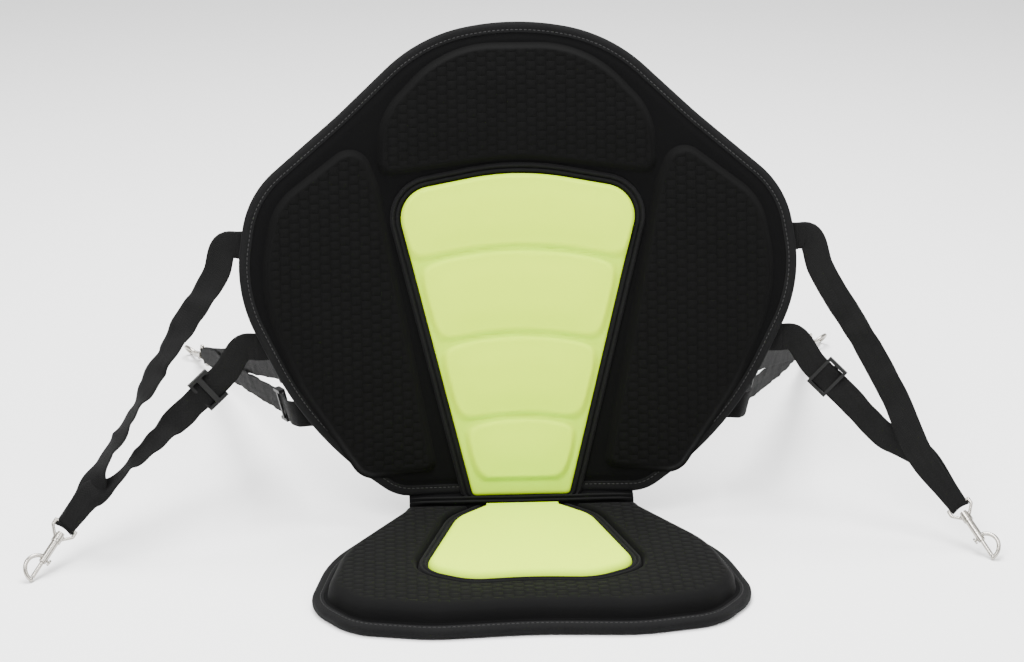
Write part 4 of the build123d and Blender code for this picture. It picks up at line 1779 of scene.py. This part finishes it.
    def ribbon(self, name: str, table: np.ndarray, face: Vector) -> bpy.types.Object:
        """Weave a ribbon along a line.

        Args:
            name: The piece's name.
            table: Place, roll, width and width direction at each step.
            face: The direction out of the strap's face where it isn't rolled.

        Returns:
            The ribbon's object.
        """
        columns = 13
        shares = np.linspace(-1, 1, columns)
        rows = len(table)
        places = []
        lay = []
        reach = 0.0
        before = None
        for index, row in enumerate(table):
            at = Vector(row[:3])
            ahead = Vector(table[min(index + 1, rows - 1)][:3]) - Vector(table[max(index - 1, 0)][:3])
            ahead.normalize()
            wide = Vector(row[5:8])
            wide = (wide - ahead * wide.dot(ahead)).normalized()
            out = wide.cross(ahead).normalized()
            if index == 0:
                flip = math.copysign(1.0, out.dot(face))
            out = out * flip
            roll = row[3]
            rolled = wide * math.cos(roll) + out * math.sin(roll)
            normal = out * math.cos(roll) - wide * math.sin(roll)
            if before is not None:
                reach += (at - before).length
            before = at
            half = row[4] / 2
            curl = (self.webbing_width - row[4]) * 0.35 + 0.5 * MM
            for top in (1, -1):
                for share in shares[::top]:
                    thick = self.webbing_thickness / 2 * math.sqrt(max(1 - share**8, 0.08))
                    bow = curl * (share * share - 0.4)
                    spot = at + rolled * (half * share) + normal * (top * thick + bow * 0.6)
                    places.append(tuple(spot))
                    lay.append((share * self.webbing_width / 2, reach, 0.01))
        piece = make_piece(name, np.array(places), tube_faces(rows, 2 * columns), np.array(lay))
        fix_normals(piece)
        return piece

    def hardware(self) -> None:
        """Dress the slider, eye, hook, bolt and spring."""
        self.rack.dress_node(f"{self.name}_slider", "slider_plastic")
        for word in ("hook_eye", "hook", "hook_bolt"):
            self.rack.dress_node(f"{self.name}_{word}", "nickel_plate")
        self.rack.dress_node(f"{self.name}_hook_spring", "spring_wire")


# --------------------------------------------------------------------------- studio
@dataclass
class Studio:
    """Pale floor, soft light and the camera."""

    camera_place: Triple = (-0.1147, -1.7695, 0.8696)
    target: Triple = (-0.0080, 0.1393, 0.1870)
    lens: float = 76.85
    sensor: float = 36.0
    sky_strength: float = 0.8
    floor_half: float = 12.0
    floor_drop: float = 0.4 * MM

    def build(self) -> None:
        """Set up the floor, the lights and the camera."""
        self.floor()
        self.sky()
        self.lamp("key_light", (-0.9, -1.3, 2.2), 1.2, 100.0)
        self.lamp("fill_light", (1.3, -1.0, 1.6), 1.4, 30.0)
        self.lamp("top_light", (0.0, 0.6, 2.4), 1.4, 150.0)
        self.camera()

    def floor(self) -> None:
        """Lay the pale floor."""
        half = self.floor_half
        places = np.array([(-half, -half, 0), (half, -half, 0), (half, half, 0), (-half, half, 0)], float)
        places[:, 2] -= self.floor_drop
        ground = make_piece("studio_floor", places, [(0, 1, 2, 3)], places)
        bench = NodeBench("floor_paper")
        tone = bench.noise(3.0, 2.0)
        bench.link(bench.ramp(tone, grey(0.95), grey(0.97)), bench.shader.inputs["Base Color"])
        bench.shader.inputs["Roughness"].default_value = 0.9
        ground.data.materials.append(bench.material)

    def sky(self) -> None:
        """Light everything evenly from all round."""
        world = bpy.data.worlds.new("studio_sky")
        bpy.context.scene.world = world
        world.use_nodes = True
        back = world.node_tree.nodes["Background"]
        back.inputs["Color"].default_value = (1.0, 1.0, 1.0, 1.0)
        back.inputs["Strength"].default_value = self.sky_strength

    def lamp(self, name: str, place: Triple, size: float, power: float) -> None:
        """Hang one soft box that looks at the seat.

        Args:
            name: The lamp's name.
            place: Where it hangs.
            size: The side of its square face.
            power: Its power in watts.
        """
        data = bpy.data.lights.new(name, "AREA")
        data.size = size
        data.energy = power
        lamp = bpy.data.objects.new(name, data)
        bpy.context.scene.collection.objects.link(lamp)
        lamp.location = place
        lamp.rotation_euler = (Vector(self.target) - Vector(place)).to_track_quat("-Z", "Y").to_euler()

    def camera(self) -> None:
        """Stand the camera in front of the seat, looking slightly down."""
        data = bpy.data.cameras.new("camera")
        data.lens = self.lens
        data.sensor_width = self.sensor
        data.sensor_fit = "HORIZONTAL"
        eye = bpy.data.objects.new("camera", data)
        bpy.context.scene.collection.objects.link(eye)
        eye.location = self.camera_place
        way = Vector(self.target) - Vector(self.camera_place)
        eye.rotation_euler = way.to_track_quat("-Z", "Y").to_euler()
        bpy.context.scene.camera = eye


def strap_list(rack: FinishRack) -> list[Strap]:
    """The four straps, each with its own bends and twists.

    Args:
        rack: The finishes.

    Returns:
        The straps, ready to build.
    """
    quiet = [Bend(0.16), Bend(0.4), Bend(0.66, 0, 0, -4)]
    return [
        Strap(
            rack,
            "front_left",
            upper_bends=[Bend(0.12, 1 * MM), Bend(0.4, 2 * MM, 1 * MM, 6), Bend(0.6, 0, 1 * MM, -4)],
            lower_bends=[Bend(0.16), Bend(0.35), Bend(0.58, -1 * MM, 1 * MM, 8)],
            meet=0.058,
            sway=0.8 * MM,
        ),
        Strap(
            rack,
            "front_right",
            upper_bends=[
                Bend(0.1, 0, 0, 22),
                Bend(0.26, 1 * MM, 1 * MM, 40),
                Bend(0.46, 1 * MM, 1 * MM, 62),
                Bend(0.62, 0, 0, 80),
                Bend(0.8, 0, 0, 66),
            ],
            lower_bends=[
                Bend(0.14),
                Bend(0.36, 0, 0, 8),
                Bend(0.5, 0, 0, 52),
                Bend(0.64, 0, 0, 80),
                Bend(0.78, 0, 0, 64),
            ],
            meet=0.034,
            sway=1.1 * MM,
        ),
        Strap(rack, "rear_left", upper_bends=quiet, lower_bends=quiet, sway=0.25 * MM),
        Strap(rack, "rear_right", upper_bends=quiet, lower_bends=quiet, sway=0.25 * MM),
    ]


def main() -> None:
    """Build the seat and the studio round it."""
    logging.basicConfig(level=logging.INFO, format="%(name)s: %(message)s")
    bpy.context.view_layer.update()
    fold = next(j for j in frame["joints"] if j["name"] == "backrest_fold")["pos_m"]
    rack = FinishRack()
    Cushion(rack, SeatSurface(fold[1])).build()
    Backrest(rack, BackSurface(tuple(fold))).build()
    FoldCloth(rack, tuple(fold)).build()
    for strap in strap_list(rack):
        strap.build()
    Studio().build()


if __name__ == "__main__":
    main()
